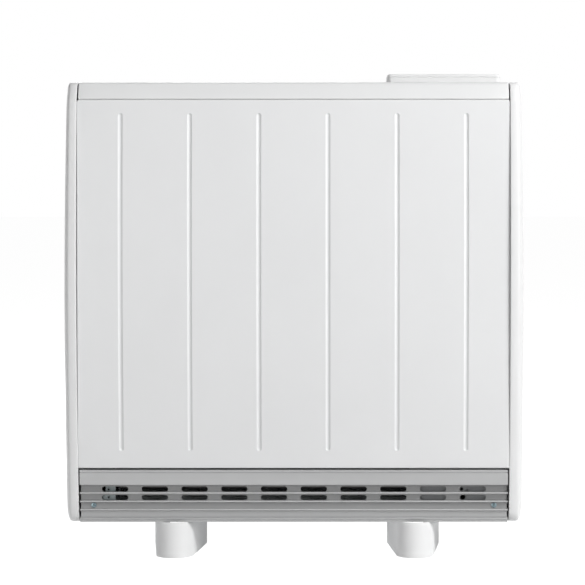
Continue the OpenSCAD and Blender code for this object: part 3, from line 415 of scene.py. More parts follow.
board_lacquer = coated("board_lacquer", (0.03, 0.13, 0.05), 0.35, 0.02, 500.0, 0.10)
plate_paint = coated("plate_paint", (0.20, 0.205, 0.21), 0.55, 0.04, 700.0, 0.04)
# Near-black finish for the galvanised damper: painted shade for the dark space behind the slots.
damper_painted_shade_black = coated("damper_painted_shade_black", (0.03, 0.03, 0.031), 0.6, 0.03, 900.0, 0.12)
sleeve_rubber = coated("sleeve_rubber", (0.05, 0.05, 0.055), 0.6, 0.03, 900.0, 0.12)
zinc_sheet = galvanised_sheet("galvanised_sheet", (0.30, 0.315, 0.325), (0.42, 0.435, 0.445))
# A darker copy of the galvanised sheet: painted shade for the fan bracket seen deep through the slots.
zinc_in_painted_shade = galvanised_sheet("galvanised_sheet_painted_shade", (0.13, 0.15, 0.155), (0.20, 0.225, 0.23))
grille_alu = drawn_aluminium(low("outlet_grille").y)
screw_zinc = bare_metal("screw_zinc", (0.10, 0.14, 0.16), (0.24, 0.31, 0.33), 0.8, 0.3)
fan_steel = bare_metal("fan_steel", (0.32, 0.325, 0.33), (0.45, 0.455, 0.46), 0.9, 0.36)
shaft_steel = bare_metal("shaft_steel", (0.55, 0.55, 0.55), (0.70, 0.70, 0.70), 1.0, 0.22)
bush_bronze = bare_metal("bush_bronze", (0.42, 0.25, 0.10), (0.55, 0.35, 0.16), 1.0, 0.35)
motor_steel = bare_metal(
    "motor_steel", (0.13, 0.13, 0.14), (0.22, 0.22, 0.23), 0.7, 0.45, 900.0, (1.0, 0.02, 0.02)
)
rod_steel = bare_metal("rod_steel", (0.16, 0.14, 0.13), (0.28, 0.25, 0.23), 0.8, 0.5)
core_brick = mineral("core_brick", (0.12, 0.085, 0.065), (0.26, 0.19, 0.15), 220.0, 0.5)
mineral_board = mineral("mineral_board", (0.58, 0.54, 0.44), (0.72, 0.68, 0.58), 160.0, 0.3)
window_glass = dark_glass()

FINISH_OF_SLOT = {
    "white_steel": panel_paint,
    "white_cap": cap_plastic,
    "galvanised": zinc_sheet,
    "grille_alu": grille_alu,
    "zinc_screw": screw_zinc,
    "insulation": mineral_board,
    "brick": core_brick,
    "element_steel": rod_steel,
    "fan_steel": fan_steel,
    "shaft_steel": shaft_steel,
    "bronze": bush_bronze,
    "motor_steel": motor_steel,
    "plate_grey": plate_paint,
    "black_plastic": black_plastic,
    "cream_plastic": cream_plastic,
    "red_plastic": red_plastic,
    "board_green": board_lacquer,
    "white_plastic": pod_plastic,
    "window": window_glass,
    "button_grey": button_plastic,
    "sleeve": sleeve_rubber,
}
for part_row in frame["record"]["subparts"]:
    node_obj = frame["nodes"][part_row["node"]]
    node_obj.data.materials.clear()
    node_obj.data.materials.append(FINISH_OF_SLOT[part_row["material_slot"]])

# The fan bracket takes the darker galvanised copy as painted shade.
frame["nodes"]["fan_bracket"].data.materials[0] = zinc_in_painted_shade
# The damper gets the near-black finish as painted shade behind the slots.
frame["nodes"]["mixing_damper"].data.materials[0] = damper_painted_shade_black

# ---------------------------------------------------------------- case sizes

BOW_Z = 450.0
PANEL_BOW_R = 3700.0
CAP_BOW_R = 2800.0
SHEET = 1.2
SHEET_PAST_FRAME = 1.4
CORNER_CUT = 3.4
CORNER_FADE_START, CORNER_FADE = 14.0, 12.0
LID_SHORT = 1.7
panel_low, panel_high = low("front_panel"), high("front_panel")
PANEL_FRONT = panel_low.y
PANEL_HALF = panel_high.x + SHEET_PAST_FRAME
PANEL_Z0, PANEL_Z1 = panel_low.z, panel_high.z
CAP_FRONT = low("end_cap_right").y
CASE_HALF = high("end_cap_right").x
CASE_TOP = high("lid").z
CASE_BACK = high("rear_panel").y


def bowed(front, radius, z):
    """How far forward a bowed surface stands at a height."""
    return front + radius - math.sqrt(radius * radius - (z - BOW_Z) ** 2)


# ---------------------------------------------------------------- front panel

GROOVE_N = 6
GROOVE_PITCH = 105.6
GROOVE_Z0, GROOVE_Z1 = 169.3, 679.6
GROOVES = {
    "Front": PANEL_FRONT * MM,
    "Bow radius": PANEL_BOW_R * MM,
    "Bow height": BOW_Z * MM,
    "Groove count": GROOVE_N,
    "Groove pitch": GROOVE_PITCH * MM,
    "Groove radius": 3.9 * MM,
    "Groove depth": 2.0 * MM,
    "Groove bottom": GROOVE_Z0 * MM,
    "Groove top": GROOVE_Z1 * MM,
    "Shoulder": 0.8 * MM,
}


def pressed_front_tree():
    """Bows a flat blank and presses its row of upright grooves."""
    net, size, result = shape_tree("pressed_front", GROOVES)
    spot = net.add("ShaderNodeSeparateXYZ", {0: net.add("GeometryNodeInputPosition").outputs[0]}).outputs
    count, pitch = size["Groove count"], size["Groove pitch"]
    rise = net.math("SUBTRACT", spot[2], size["Bow height"])
    radius = size["Bow radius"]
    chord = net.math("SQRT", net.math("SUBTRACT", net.math("POWER", radius, 2.0), net.math("POWER", rise, 2.0)))
    bow = net.math("SUBTRACT", net.math("ADD", size["Front"], radius), chord)
    half_row = net.math("MULTIPLY", net.math("MULTIPLY", count, pitch), 0.5)
    along = net.math("DIVIDE", net.math("ADD", spot[0], half_row), pitch)
    last = net.math("SUBTRACT", count, 1.0)
    index = net.math("MINIMUM", net.math("MAXIMUM", net.math("FLOOR", along), 0.0), last)
    aside = net.math("MULTIPLY", net.math("SUBTRACT", net.math("SUBTRACT", along, index), 0.5), pitch)
    under = net.math("SUBTRACT", size["Groove bottom"], spot[2])
    over = net.math("SUBTRACT", spot[2], size["Groove top"])
    beyond = net.math("MAXIMUM", net.math("MAXIMUM", under, over), 0.0)
    away = net.math("ADD", net.math("POWER", aside, 2.0), net.math("POWER", beyond, 2.0))
    inside = net.math("MAXIMUM", net.math("SUBTRACT", net.math("POWER", size["Groove radius"], 2.0), away), 0.0)
    lift = net.math("SUBTRACT", size["Groove radius"], size["Groove depth"])
    dip = net.math("SUBTRACT", net.math("SQRT", inside), lift)
    pressed = net.math("SMOOTH_MAX", dip, 0.0, size["Shoulder"])
    depth = net.math("ADD", net.math("ADD", bow, pressed), spot[1])
    place = net.xyz(spot[0], depth, spot[2])
    formed = net.add("GeometryNodeSetPosition", {"Geometry": size["Geometry"], "Position": place}).outputs[0]
    end_tree(net, result, formed, panel_paint)
    return net.tree


JOINT_Z = (PANEL_Z1 + low("lid").z) / 2
PANEL_BEND = 1.8
SIDE_FLANGE, END_FLANGE = 10.0, 8.0
GROOVE_ENDS = [168.0, 680.0]


def corner_cut(x, z):
    """Draws x in where the panel's upper corners are cut off beside the end caps."""
    cut = max(0.0, CORNER_CUT - abs(z - JOINT_Z))
    fade = (abs(x) - PANEL_HALF + CORNER_FADE_START) / CORNER_FADE
    return math.copysign(abs(x) - cut * min(1.0, max(0.0, fade)), x)


def folded_stations(near, far, bend, depth, inner):
    """Stations across a sheet, each with how far it is turned back: folds at both ends."""
    turns = [math.radians(a) for a in range(0, 91, 15)]
    fold = [(bend * math.sin(a), bend * (1 - math.cos(a))) for a in turns]
    last = [(far - bend + out, back) for out, back in fold] + [(far, depth)]
    first = [(near + far - x, back) for x, back in reversed(last)]
    return first + [(x, 0.0) for x in inner if near + bend + 0.5 < x < far - bend - 0.5] + last


def fine_near(start, stop, spots, reach, step, wide_step):
    """Numbers from start to stop, close together near some spots."""
    found = set()
    at = start
    while at < stop:
        found.add(round(at, 3))
        gap = min(abs(at - s) for s in spots)
        at += step if gap < reach else max(step, min(wide_step, (gap - reach) * 0.6))
    return sorted(found)


def front_blank():
    """The flat blank of the front panel, its edges turned back."""
    centres = [(i - (GROOVE_N - 1) / 2) * GROOVE_PITCH for i in range(GROOVE_N)]
    across = fine_near(-PANEL_HALF, PANEL_HALF, centres, 6.4, 0.4, 14.0)
    columns = folded_stations(-PANEL_HALF, PANEL_HALF, PANEL_BEND, SIDE_FLANGE, across)
    upward = fine_near(PANEL_Z0, PANEL_Z1, GROOVE_ENDS, 8.0, 0.5, 12.0)
    rows = folded_stations(PANEL_Z0, PANEL_Z1, PANEL_BEND, END_FLANGE, upward)
    return sheet_grid([[(corner_cut(x, z), max(bx, bz), z) for x, bx in columns] for z, bz in rows])


front = shape("front_panel_pressed", *front_blank())
run_tree(front, pressed_front_tree(), GROOVES)
outward(wall(front, SHEET))
smooth(baked(front), 50)
dress(front, "heater", "white_steel", "front_panel")

# ---------------------------------------------------------------- lid

LIP_DROP = 0.6
LIP_Z0 = low("lid").z - LIP_DROP
LID_HALF = PANEL_HALF - LID_SHORT
LIP_LEAN = math.radians(26.0)
LID_BACK = high("lid").y
LID_ROUND = 8.0
LID_END_R, LID_END_DROP = 1.6, 5.5
LID_STEP, LID_STEPS = 22.0, 30
REAR_FLANGE = 14.0
HEM, HEM_R = 9.0, 1.3
lip_front = bowed(PANEL_FRONT, PANEL_BOW_R, LIP_Z0)


def lid_line(inset):
    """The lid's section from its rear flange over the top to the hem of its lip."""

    def face(z):
        return lip_front + (z - LIP_Z0) * math.tan(LIP_LEAN) + inset / math.cos(LIP_LEAN)

    rear_r = max(LID_END_R - inset, 0.1)
    edge_r = max(LID_ROUND - inset, 0.4)
    edge_z = CASE_TOP - inset - edge_r
    hem_z = LIP_Z0 + inset + HEM_R
    lean = math.degrees(LIP_LEAN)
    line = [(LID_BACK - inset, CASE_TOP - REAR_FLANGE)]
    line += arc(LID_BACK - inset - rear_r, CASE_TOP - inset - rear_r, rear_r, 0, 90, 4)
    line += arc(face(edge_z) + edge_r / math.cos(LIP_LEAN), edge_z, edge_r, 90, 180 - lean, 8)
    line += arc(face(hem_z) + HEM_R / math.cos(LIP_LEAN), hem_z, HEM_R, 180 - lean, 270, 6)
    line.append((lip_front + HEM + inset, LIP_Z0 + inset))
    line.append((lip_front + HEM + inset, LIP_Z0 + HEM))
    return line


def lid_skin():
    """The lid's skin from end to end, its section drawn in round both ends."""
    angles = [math.pi / 12 * i for i in range(7)]
    flat_end = LID_HALF - LID_END_R
    end_round = [(flat_end + LID_END_R * math.sin(a), LID_END_R * (1 - math.cos(a))) for a in angles]
    end_round.append((LID_HALF, LID_END_DROP))
    stations = [(-x, inset) for x, inset in reversed(end_round)]
    stations += [(-LID_HALF + LID_STEP * i, 0.0) for i in range(1, LID_STEPS)]
    stations += end_round
    return sheet_grid([[(x, y, z) for y, z in lid_line(inset)] for x, inset in stations])


lid = shape("lid_folded", *lid_skin(), lid_paint)
outward(lid)
wall(lid, SHEET, even=False)
smooth(baked(lid), 50)
dress(lid, "heater", "white_steel", "lid")

# ---------------------------------------------------------------- end caps

CAP_FOOT_DROP, CAP_CLEAR = 2.6, 1.3
CAP_Z0 = low("end_cap_right").z - CAP_FOOT_DROP
CAP_INNER = CAP_CLEAR - low("rear_panel").x
CAP_WIDTH = CASE_HALF - CAP_INNER
CAP_SLANT, CAP_DOME = 57.0, 60.0
CAP_TOP_R, CAP_LOW_R, CAP_REAR_R = 12.0, 20.0, 1.5
CAP_BEND = 6.0
CAP_WALL = 2.5
CAP_LEAN, CAP_LEAN_Z = 3.3, 400.0
# Across an end cap: share of its width, then of its slant at the front and of its dome at top and foot
CAP_SHARES = (0.46, 0.556, 0.62, 0.7, 0.82, 0.912, 0.96, 1.0)
CAP_SLANTS = (0.0, 0.018, 0.063, 0.184, 0.386, 0.596, 0.77, 1.0)
CAP_DOMES = (0.0, 0.007, 0.013, 0.03, 0.067, 0.2, 0.43, 1.0)


def eased(xs, ys, at):
    """A smooth rising curve through points, read at one place."""
    steps = [(y1 - y0) / (x1 - x0) for x0, x1, y0, y1 in zip(xs, xs[1:], ys, ys[1:])]
    inner = [2 * p * q / (p + q) if p * q > 0 else 0.0 for p, q in zip(steps, steps[1:])]
    slopes = [steps[0]] + inner + [steps[-1]]
    k = max(i for i in range(len(xs) - 1) if i == 0 or xs[i] <= at)
    h = xs[k + 1] - xs[k]
    t = (at - xs[k]) / h
    rise = ys[k] * (1 + 2 * t) * (1 - t) ** 2 + ys[k + 1] * t * t * (3 - 2 * t)
    return rise + h * (slopes[k] * t * (1 - t) ** 2 - slopes[k + 1] * t * t * (1 - t))


def cap_line(back, drop, rear):
    """Side outline of an end cap: its front stepped back, top and foot drawn in, rear moved forward."""
    reach = CAP_BOW_R - CAP_LOW_R
    low_z, bend_z = CAP_Z0 + CAP_LOW_R + drop, LIP_Z0 - drop
    bend_y = bowed(CAP_FRONT, CAP_BOW_R, bend_z)

    def lip(z):
        return bend_y + (z - bend_z) * math.tan(LIP_LEAN) + back

    foot_y = CAP_FRONT + CAP_BOW_R - math.sqrt(reach * reach - (low_z - BOW_Z) ** 2) + back
    slope = math.degrees(math.asin((low_z - BOW_Z) / reach))
    line = arc(foot_y, low_z, CAP_LOW_R, 270, 180 - slope, 12)
    for i in range(1, 41):
        z = low_z + (bend_z - CAP_BEND - low_z) * i / 40
        line.append((bowed(CAP_FRONT, CAP_BOW_R, z) + back, z))
    start, stop = line[-1], (lip(bend_z + CAP_BEND), bend_z + CAP_BEND)
    for i in range(1, 7):
        t = i / 6
        mix = ((1 - t) ** 2, 2 * t * (1 - t), t * t)
        corners = zip(start, (bend_y + back, bend_z), stop)
        line.append(tuple(sum(m * v for m, v in zip(mix, three)) for three in corners))
    edge_z = CASE_TOP - drop - CAP_TOP_R
    edge_y = lip(edge_z) + CAP_TOP_R / math.cos(LIP_LEAN)
    line += arc(edge_y, edge_z, CAP_TOP_R, 180 - math.degrees(LIP_LEAN), 90, 10)
    rear_y = CASE_BACK - rear
    line += arc(rear_y - CAP_REAR_R, CASE_TOP - drop - CAP_REAR_R, CAP_REAR_R, 90, 0, 3)
    line += arc(rear_y - CAP_REAR_R, CAP_Z0 + drop + CAP_REAR_R, CAP_REAR_R, 0, -90, 3)
    return line


def leaned(x, z):
    """Draws an end cap's outer face in towards its top."""
    rise = max(0.0, (z - CAP_LEAN_Z) / (CASE_TOP - CAP_LEAN_Z))
    return CAP_INNER + (x - CAP_INNER) * (1.0 - CAP_LEAN / CAP_WIDTH * rise**1.3)


def cap_skin(side):
    """A hollow cup: its inside from the end wall to the rim, then its outside from the rim to the end."""

    def station(share, inset):
        slant = CAP_SLANT * eased(CAP_SHARES, CAP_SLANTS, share)
        dome = CAP_DOME * eased(CAP_SHARES, CAP_DOMES, share)
        return (CAP_INNER + share * CAP_WIDTH - inset, slant + inset, dome + inset, inset)

    stations = [station(share, CAP_WALL) for share in reversed(CAP_SHARES)]
    stations += [(CAP_INNER + 0.5, 2.7, 2.7, 2.5)]
    rim = ((0.0, 2.2), (0.0, 1.3), (0.25, 0.6), (0.8, 0.15), (1.6, 0.0))
    stations += [(CAP_INNER + x, inset, inset, 0.0) for x, inset in rim]
    fine = sorted({0.46 + 0.16 * i / 6 for i in range(7)} | {0.62 + 0.38 * i / 16 for i in range(17)})
    stations += [station(share, 0.0) for share in fine]
    stations.append((CASE_HALF, CAP_SLANT + 4.0, CAP_DOME + 4.0, 4.0))
    loops = [[(side * leaned(x, z), y, z) for y, z in cap_line(*insets)] for x, *insets in stations]
    return closed_loops(loops)


for side, cap_name in ((-1, "end_cap_left"), (1, "end_cap_right")):
    cap = shape(cap_name + "_moulded", *cap_skin(side), cap_plastic)
    smooth(outward(cap), 35)
    dress(cap, "heater", "white_cap", cap_name)

# ---------------------------------------------------------------- outlet grille

grille_low, grille_high = low("outlet_grille"), high("outlet_grille")
FIN_T = 3.2
FIN_N = 3
FIN_PITCH = 13.05
FIN_STEP = 1.2
FIN_RISE = 1.1
FIN_TIP_R = 1.15
WALL_T = 2.0
BAND_H = 23.3
BAND_LOW_R = 0.7
LINE_DEPTH = 1.1
SLOT_W, SLOT_H, SLOT_PITCH = 40.7, 8.2, 61.2
SLOT_RISE = 4.55
CUTTER_DEPTH = 6.0
GRILLE_PAST_FRAME = 1.0
WEB_CUT_Z0, WEB_CUT_Z1 = 62.3, 112.1
WEB_CUT_IN, WEB_CUT_OUT = 0.3, 2.0
BAND_Y = grille_low.y
BAND_Z1 = grille_high.z
BAND_Z0 = BAND_Z1 - BAND_H
WEB_Y = BAND_Y + 8.0
WEB_BACK = WEB_Y + WALL_T
LIP_FIN_Z = grille_low.z - 0.02 + 5.0
FIRST_FIN_Z = LIP_FIN_Z + FIN_N * FIN_PITCH
PERFORATION = {
    "Slots": 10,
    "Rows": 2,
    "Slot pitch": SLOT_PITCH * MM,
    "Row pitch": FIN_PITCH * MM,
    "Slot width": SLOT_W * MM,
    "Slot height": SLOT_H * MM,
    "Web depth": (WEB_Y + 1.0) * MM,
    "Row height": (FIRST_FIN_Z + FIN_T / 2 + SLOT_RISE - FIN_PITCH / 2) * MM,
}


def grille_line():
    """The extrusion's section: a hollow band over a web with fins and a turned lip."""
    nose = FIN_T / 2
    line = arc(BAND_Y + nose, BAND_Z1 - nose, nose, 90, 180, 6)
    line += [(BAND_Y, BAND_Z1 - 3.2), (BAND_Y + LINE_DEPTH, BAND_Z1 - 3.4)]
    line += [(BAND_Y + LINE_DEPTH, BAND_Z1 - 4.2), (BAND_Y, BAND_Z1 - 4.5)]
    line += arc(BAND_Y + BAND_LOW_R, BAND_Z0 + BAND_LOW_R, BAND_LOW_R, 180, 270, 4)
    line.append((WEB_Y, BAND_Z0))
    for i in range(FIN_N, -1, -1):
        z = LIP_FIN_Z + i * FIN_PITCH
        tip = BAND_Y + FIN_STEP * (FIN_N - i) + nose
        line.append((WEB_Y, z + nose))
        tip_z, tip_r = (z + FIN_RISE, FIN_TIP_R) if i else (z, nose)
        line += arc(tip, tip_z, tip_r, 90, 270, 10)
        if i:
            line.append((WEB_Y, z - nose))
    lip, inner = BAND_Y + FIN_STEP * FIN_N + nose, BAND_Y + WALL_T
    line += [(lip, grille_low.z), (lip + WALL_T, grille_low.z), (lip + WALL_T, LIP_FIN_Z - nose)]
    line += [(WEB_BACK, LIP_FIN_Z - nose), (WEB_BACK, BAND_Z0 + WALL_T), (inner, BAND_Z0 + WALL_T)]
    line += [(inner, BAND_Z1 - FIN_T), (WEB_BACK, BAND_Z1 - FIN_T), (WEB_BACK, BAND_Z1)]
    return line


def perforated_tree():
    """Punches a grid of round-ended slots through the web."""
    net, size, result = shape_tree("perforated_web", PERFORATION)
    radius = net.math("MULTIPLY", size["Slot height"], 0.5)
    reach = net.math("MULTIPLY", net.math("SUBTRACT", size["Slot width"], size["Slot height"]), 0.5)
    drum_size = {"Vertices": 40, "Radius": radius, "Depth": CUTTER_DEPTH * MM}
    drum = net.add("GeometryNodeMeshCylinder", drum_size).outputs["Mesh"]
    lying = net.moved(drum, turn=(math.pi / 2, 0.0, 0.0))
    back = net.math("MULTIPLY", reach, -1.0)
    ends = net.joined(net.moved(lying, net.xyz(reach)), net.moved(lying, net.xyz(back)))
    slot = net.add("GeometryNodeConvexHull", {0: ends}).outputs[0]
    wide = net.math("MULTIPLY", net.math("SUBTRACT", size["Slots"], 1.0), size["Slot pitch"])
    tall = net.math("MULTIPLY", net.math("SUBTRACT", size["Rows"], 1.0), size["Row pitch"])
    grid_size = {"Size X": wide, "Size Y": tall, "Vertices X": size["Slots"], "Vertices Y": size["Rows"]}
    grid = net.add("GeometryNodeMeshGrid", grid_size).outputs["Mesh"]
    upright = net.moved(grid, net.xyz(0.0, size["Web depth"], size["Row height"]), (math.pi / 2, 0.0, 0.0))
    cutters = net.add("GeometryNodeInstanceOnPoints", {"Points": upright, "Instance": slot}).outputs[0]
    real = net.add("GeometryNodeRealizeInstances", {0: cutters}).outputs[0]
    end_tree(net, result, net.cut_from(size["Geometry"], real), grille_alu)
    return net.tree


def grille_skin():
    """The extrusion between its two ends."""
    half = grille_high.x + GRILLE_PAST_FRAME
    return closed_loops([[(x, y, z) for y, z in grille_line()] for x in (-half, half)])


def web_end_cutter(near, far):
    """A block that cuts the web short at one end. It starts just ahead of the web's face."""
    ahead, behind = WEB_Y - 0.4, WEB_Y + 4.3
    ring = ((ahead, WEB_CUT_Z0), (behind, WEB_CUT_Z0), (behind, WEB_CUT_Z1), (ahead, WEB_CUT_Z1))
    return shape("web_end_cutter", *closed_loops([[(x, y, z) for y, z in ring] for x in (near, far)]))


grille = shape("outlet_grille_extruded", *grille_skin())
outward(grille)
run_tree(grille, perforated_tree(), PERFORATION)
web_ends = [
    web_end_cutter(-grille_high.x - WEB_CUT_OUT, WEB_CUT_IN - grille_high.x),
    web_end_cutter(grille_high.x - WEB_CUT_IN, grille_high.x + WEB_CUT_OUT),
]
cut_by(grille, *web_ends)
smooth(grille, 30)
dress(grille, "heater", "grille_alu", "outlet_grille")

# ---------------------------------------------------------------- screws

SCREW = {
    "Head radius": 4.0 * MM,
    "Head height": 2.0 * MM,
    "Head drop": 0.75 * MM,
    "Shank radius": 1.75 * MM,
    "Shank length": 9.0 * MM,
    "Recess span": 4.6 * MM,
    "Recess width": 0.95 * MM,
    "Recess depth": 1.3 * MM,
}


def pan_head_tree():
    """Sets a pan-head screw with a cross recess on each point, turned as the point says."""
    net, size, result = shape_tree("pan_head_screws", SCREW)
    radius, tall = size["Head radius"], size["Head height"]
    blank_size = {"Vertices": 40, "Side Segments": 4, "Fill Segments": 5, "Radius": radius, "Depth": tall}
    blank = net.add("GeometryNodeMeshCylinder", blank_size).outputs["Mesh"]
    spot = net.add("ShaderNodeSeparateXYZ", {0: net.add("GeometryNodeInputPosition").outputs[0]}).outputs
    out = net.math("SQRT", net.math("ADD", net.math("POWER", spot[0], 2.0), net.math("POWER", spot[1], 2.0)))
    share = net.math("POWER", net.math("DIVIDE", out, radius), 3.0)
    level = net.math("ADD", spot[2], net.math("MULTIPLY", tall, 0.5))
    drop = net.math("MULTIPLY", net.math("MULTIPLY", share, size["Head drop"]), net.math("DIVIDE", level, tall))
    dome = net.xyz(spot[0], spot[1], net.math("SUBTRACT", level, drop))
    domed = net.add("GeometryNodeSetPosition", {"Geometry": blank, "Position": dome}).outputs[0]
    bar_height = net.math("MULTIPLY", size["Recess depth"], 2.0)
    bar_size = net.xyz(size["Recess span"], size["Recess width"], bar_height)
    bar = net.add("GeometryNodeMeshCube", {"Size": bar_size}).outputs["Mesh"]
    high_bar = net.moved(bar, net.xyz(0.0, 0.0, tall))
    crossed = net.moved(high_bar, turn=(0.0, 0.0, math.pi / 2))
    head = net.cut_from(domed, high_bar, crossed)
    shank_size = {"Vertices": 24, "Radius": size["Shank radius"], "Depth": size["Shank length"]}
    shank = net.add("GeometryNodeMeshCylinder", shank_size).outputs["Mesh"]
    sunk = net.moved(shank, net.xyz(0.0, 0.0, net.math("MULTIPLY", size["Shank length"], -0.5)))
    tilt = net.add("GeometryNodeInputNamedAttribute", {"Name": "tilt"}, data_type="FLOAT_VECTOR").outputs[0]
    turn = net.add("FunctionNodeEulerToRotation", {0: tilt}).outputs[0]
    seats = {"Points": size["Geometry"], "Instance": net.joined(head, sunk), "Rotation": turn}
    placed = net.add("GeometryNodeInstanceOnPoints", seats).outputs[0]
    end_tree(net, result, placed, screw_zinc)
    return net.tree


screw_tree = pan_head_tree()


def screws(name, node, seats):
    """Screws at the given points; each seat is a point and a turn in degrees."""
    obj = shape(name, [point for point, turn in seats], [])
    tilt = obj.data.attributes.new("tilt", "FLOAT_VECTOR", "POINT")
    for item, (point, turn) in zip(tilt.data, seats):
        item.vector = [math.radians(t) for t in turn]
    run_tree(obj, screw_tree, SCREW)
    smooth(obj, 35)
    dress(obj, "heater", "zinc_screw", node)


FORWARD, BACKWARD, UPRIGHT = (90.0, 33.0, 0.0), (-90.0, 20.0, 0.0), (0.0, 0.0, 15.0)
HEAD_H, HEAD_R = SCREW["Head height"] / MM, SCREW["Head radius"] / MM
SEAT_GAP = 0.02
GRILLE_SCREW_IN, GRILLE_SCREW_Z = 20.0, 80.6
LID_SCREW_DROP, REAR_SCREW_Z = 7.0, 64.0
POD_SCREW_X, POD_SCREW_RISE = 74.0, 2.54
FOOT_SCREW_X, FOOT_SCREW_Y = 184.0, (-20.0, 50.0)


def middle(node):
    """Middle of a solid in plan, in millimetres."""
    return (low(node).x + high(node).x) / 2, (low(node).y + high(node).y) / 2


grille_screw_x = grille_high.x - GRILLE_SCREW_IN
front_seats = [((s * grille_screw_x, WEB_Y - SEAT_GAP, GRILLE_SCREW_Z), FORWARD) for s in (-1, 1)]
screws("grille_screws_front", "grille_screws", front_seats)
lid_screw_y = high("case_screws").y - HEAD_H
rear_screw_x = -low("case_screws").x - HEAD_R
pod_x, pod_y = middle("pod_base")
case_seats = []
for s in (-1, 1):
    case_seats.append(((s * rear_screw_x, lid_screw_y, CASE_TOP - LID_SCREW_DROP), BACKWARD))
    case_seats.append(((s * rear_screw_x, CASE_BACK + SEAT_GAP, REAR_SCREW_Z), BACKWARD))
    case_seats.append(((pod_x + s * POD_SCREW_X, pod_y, CASE_TOP + POD_SCREW_RISE), UPRIGHT))
screws("case_screws_rear", "case_screws", case_seats)
foot_top = high("foot_screws").z - HEAD_H
foot_seats = [((s * FOOT_SCREW_X, y, foot_top), UPRIGHT) for s in (-1, 1) for y in FOOT_SCREW_Y]
screws("foot_screws_inside", "foot_screws", foot_seats)

# ---------------------------------------------------------------- feet

FOOT_NOSE = 27.2
FOOT_WALL = 2.2
FOOT_SHY = 0.7
CREASE_DROP = 6.0
FOOT_MIDDLES = ((-184.5, "foot_left"), (187.2, "foot_right"))


def foot_line():
    """Inner plan of a foot cover, from one rear edge round its nose to the other: its wall grows outwards."""
    front_y = low("foot_left").y
    back_y = high("foot_left").y
    half = (high("foot_left").x - low("foot_left").x) / 2 - FOOT_SHY
    nose_y = front_y + FOOT_NOSE
    crease = math.degrees(math.asin(CREASE_DROP / FOOT_NOSE))
    nose = arc(0.0, nose_y, FOOT_NOSE, -crease, -180 + crease, 40)
    ahead, behind = nose[0], (half, back_y)
    flare = [tuple(b + (a - b) * i / 12 for a, b in zip(ahead, behind)) for i in range(12)]
    return flare + nose + [(-x, y) for x, y in reversed(flare)]


def foot_skin(foot_x):
    """The skin of a foot cover from the floor to the case."""
    top = high("foot_left").z
    return sheet_grid([[(foot_x + x, y, top * i / 8) for x, y in foot_line()] for i in range(9)])


for foot_x, foot_name in FOOT_MIDDLES:
    foot = shape(foot_name + "_cover", *foot_skin(foot_x), foot_plastic)
    wall(foot, FOOT_WALL)
    softened(baked(foot), 0.6, 60)
    smooth(baked(foot), 30)
    dress(foot, "heater", "white_steel", foot_name)

# ---------------------------------------------------------------- control pod


def rounded_plan(x0, x1, y0, y1, r, steps=8):
    """A rectangle with round corners, anticlockwise."""
    corners = ((x1 - r, y1 - r, 0), (x0 + r, y1 - r, 90), (x0 + r, y0 + r, 180), (x1 - r, y0 + r, 270))
    return [point for cx, cy, start in corners for point in arc(cx, cy, r, start, start + 90, steps)]


def stacked(box_low, box_high, corner, levels):
    """Skin of a rounded box: each level is a height and an inset."""

    def ring(inset):
        x0, x1 = box_low.x + inset, box_high.x - inset
        y0, y1 = box_low.y + inset, box_high.y - inset
        return rounded_plan(x0, x1, y0, y1, max(corner - inset, 1.0))

    return closed_loops([[(x, y, z) for x, y in ring(inset)] for z, inset in levels])


POD_CORNER = 8.0
POD_WALL, FASCIA_WALL = 3.1, 3.0
SEAM = 0.9
FASCIA_ROUND = 2.2
WINDOW_GAP = Vector((0.3, 0.3, 0.0))
BUTTON_HOLE_R = 6.3

pod_low, pod_high = low("pod_base"), high("pod_base")
tray_levels = [(pod_low.z + 2.5, POD_WALL), (pod_high.z, POD_WALL), (pod_high.z, SEAM), (pod_high.z - 0.6, 0.0)]
tray_levels += [(pod_low.z + 0.9, 0.0), (pod_low.z + 0.3, 0.3), (pod_low.z, SEAM)]
pod = shape("pod_tray", *stacked(pod_low, pod_high, POD_CORNER, tray_levels), pod_plastic)
smooth(outward(pod), 40)
dress(pod, "heater", "white_plastic", "pod_base")

top_low, top_high = low("pod_fascia"), high("pod_fascia")
quarter = [math.pi / 16 * i for i in range(9)]
fascia_levels = [(top_high.z - 2.0, FASCIA_WALL), (top_low.z, FASCIA_WALL)]
fascia_levels += [(top_low.z, SEAM), (top_low.z + 0.4, 0.0)]
fascia_levels += [
    (top_high.z - FASCIA_ROUND + FASCIA_ROUND * math.sin(a), FASCIA_ROUND * (1 - math.cos(a))) for a in quarter
]
fascia = shape("pod_fascia_moulded", *stacked(top_low, top_high, POD_CORNER, fascia_levels), pod_plastic)
outward(fascia)
glass_low, glass_high = low("display_window"), high("display_window")
window_levels = [(glass_low.z - 0.02, 0.0), (top_high.z + 2.0, 0.0)]
window_skin = stacked(glass_low - WINDOW_GAP, glass_high + WINDOW_GAP, 3.0, window_levels)
cutters = [shape("window_cutter", *window_skin)]
buttons = {"down": "key_down", "select": "key_select", "up": "key_up"}
for label in buttons:
    mid_x, mid_y = middle("button_" + label)
    circle = arc(0.0, 0.0, BUTTON_HOLE_R, 0, 352.5, 47)
    ring = [[(mid_x + x, mid_y + y, z) for x, y in circle] for z in (top_low.z - 1, top_high.z + 1)]
    cutters.append(shape("button_cutter_" + label, *closed_loops(ring)))
cut_by(fascia, *cutters)
softened(fascia, 0.25, 60)
smooth(baked(fascia), 40)
dress(fascia, "heater", "white_plastic", "pod_fascia")


def turned(name, mid_x, mid_y, profile, material, steps=48):
    """A shape of revolution about an upright axis: the profile is radius and height."""
    angles = [2 * math.pi * i / steps for i in range(steps)]
    loops = [[(mid_x + r * math.cos(a), mid_y + r * math.sin(a), z) for a in angles] for r, z in profile]
    return outward(shape(name, *closed_loops(loops), material))


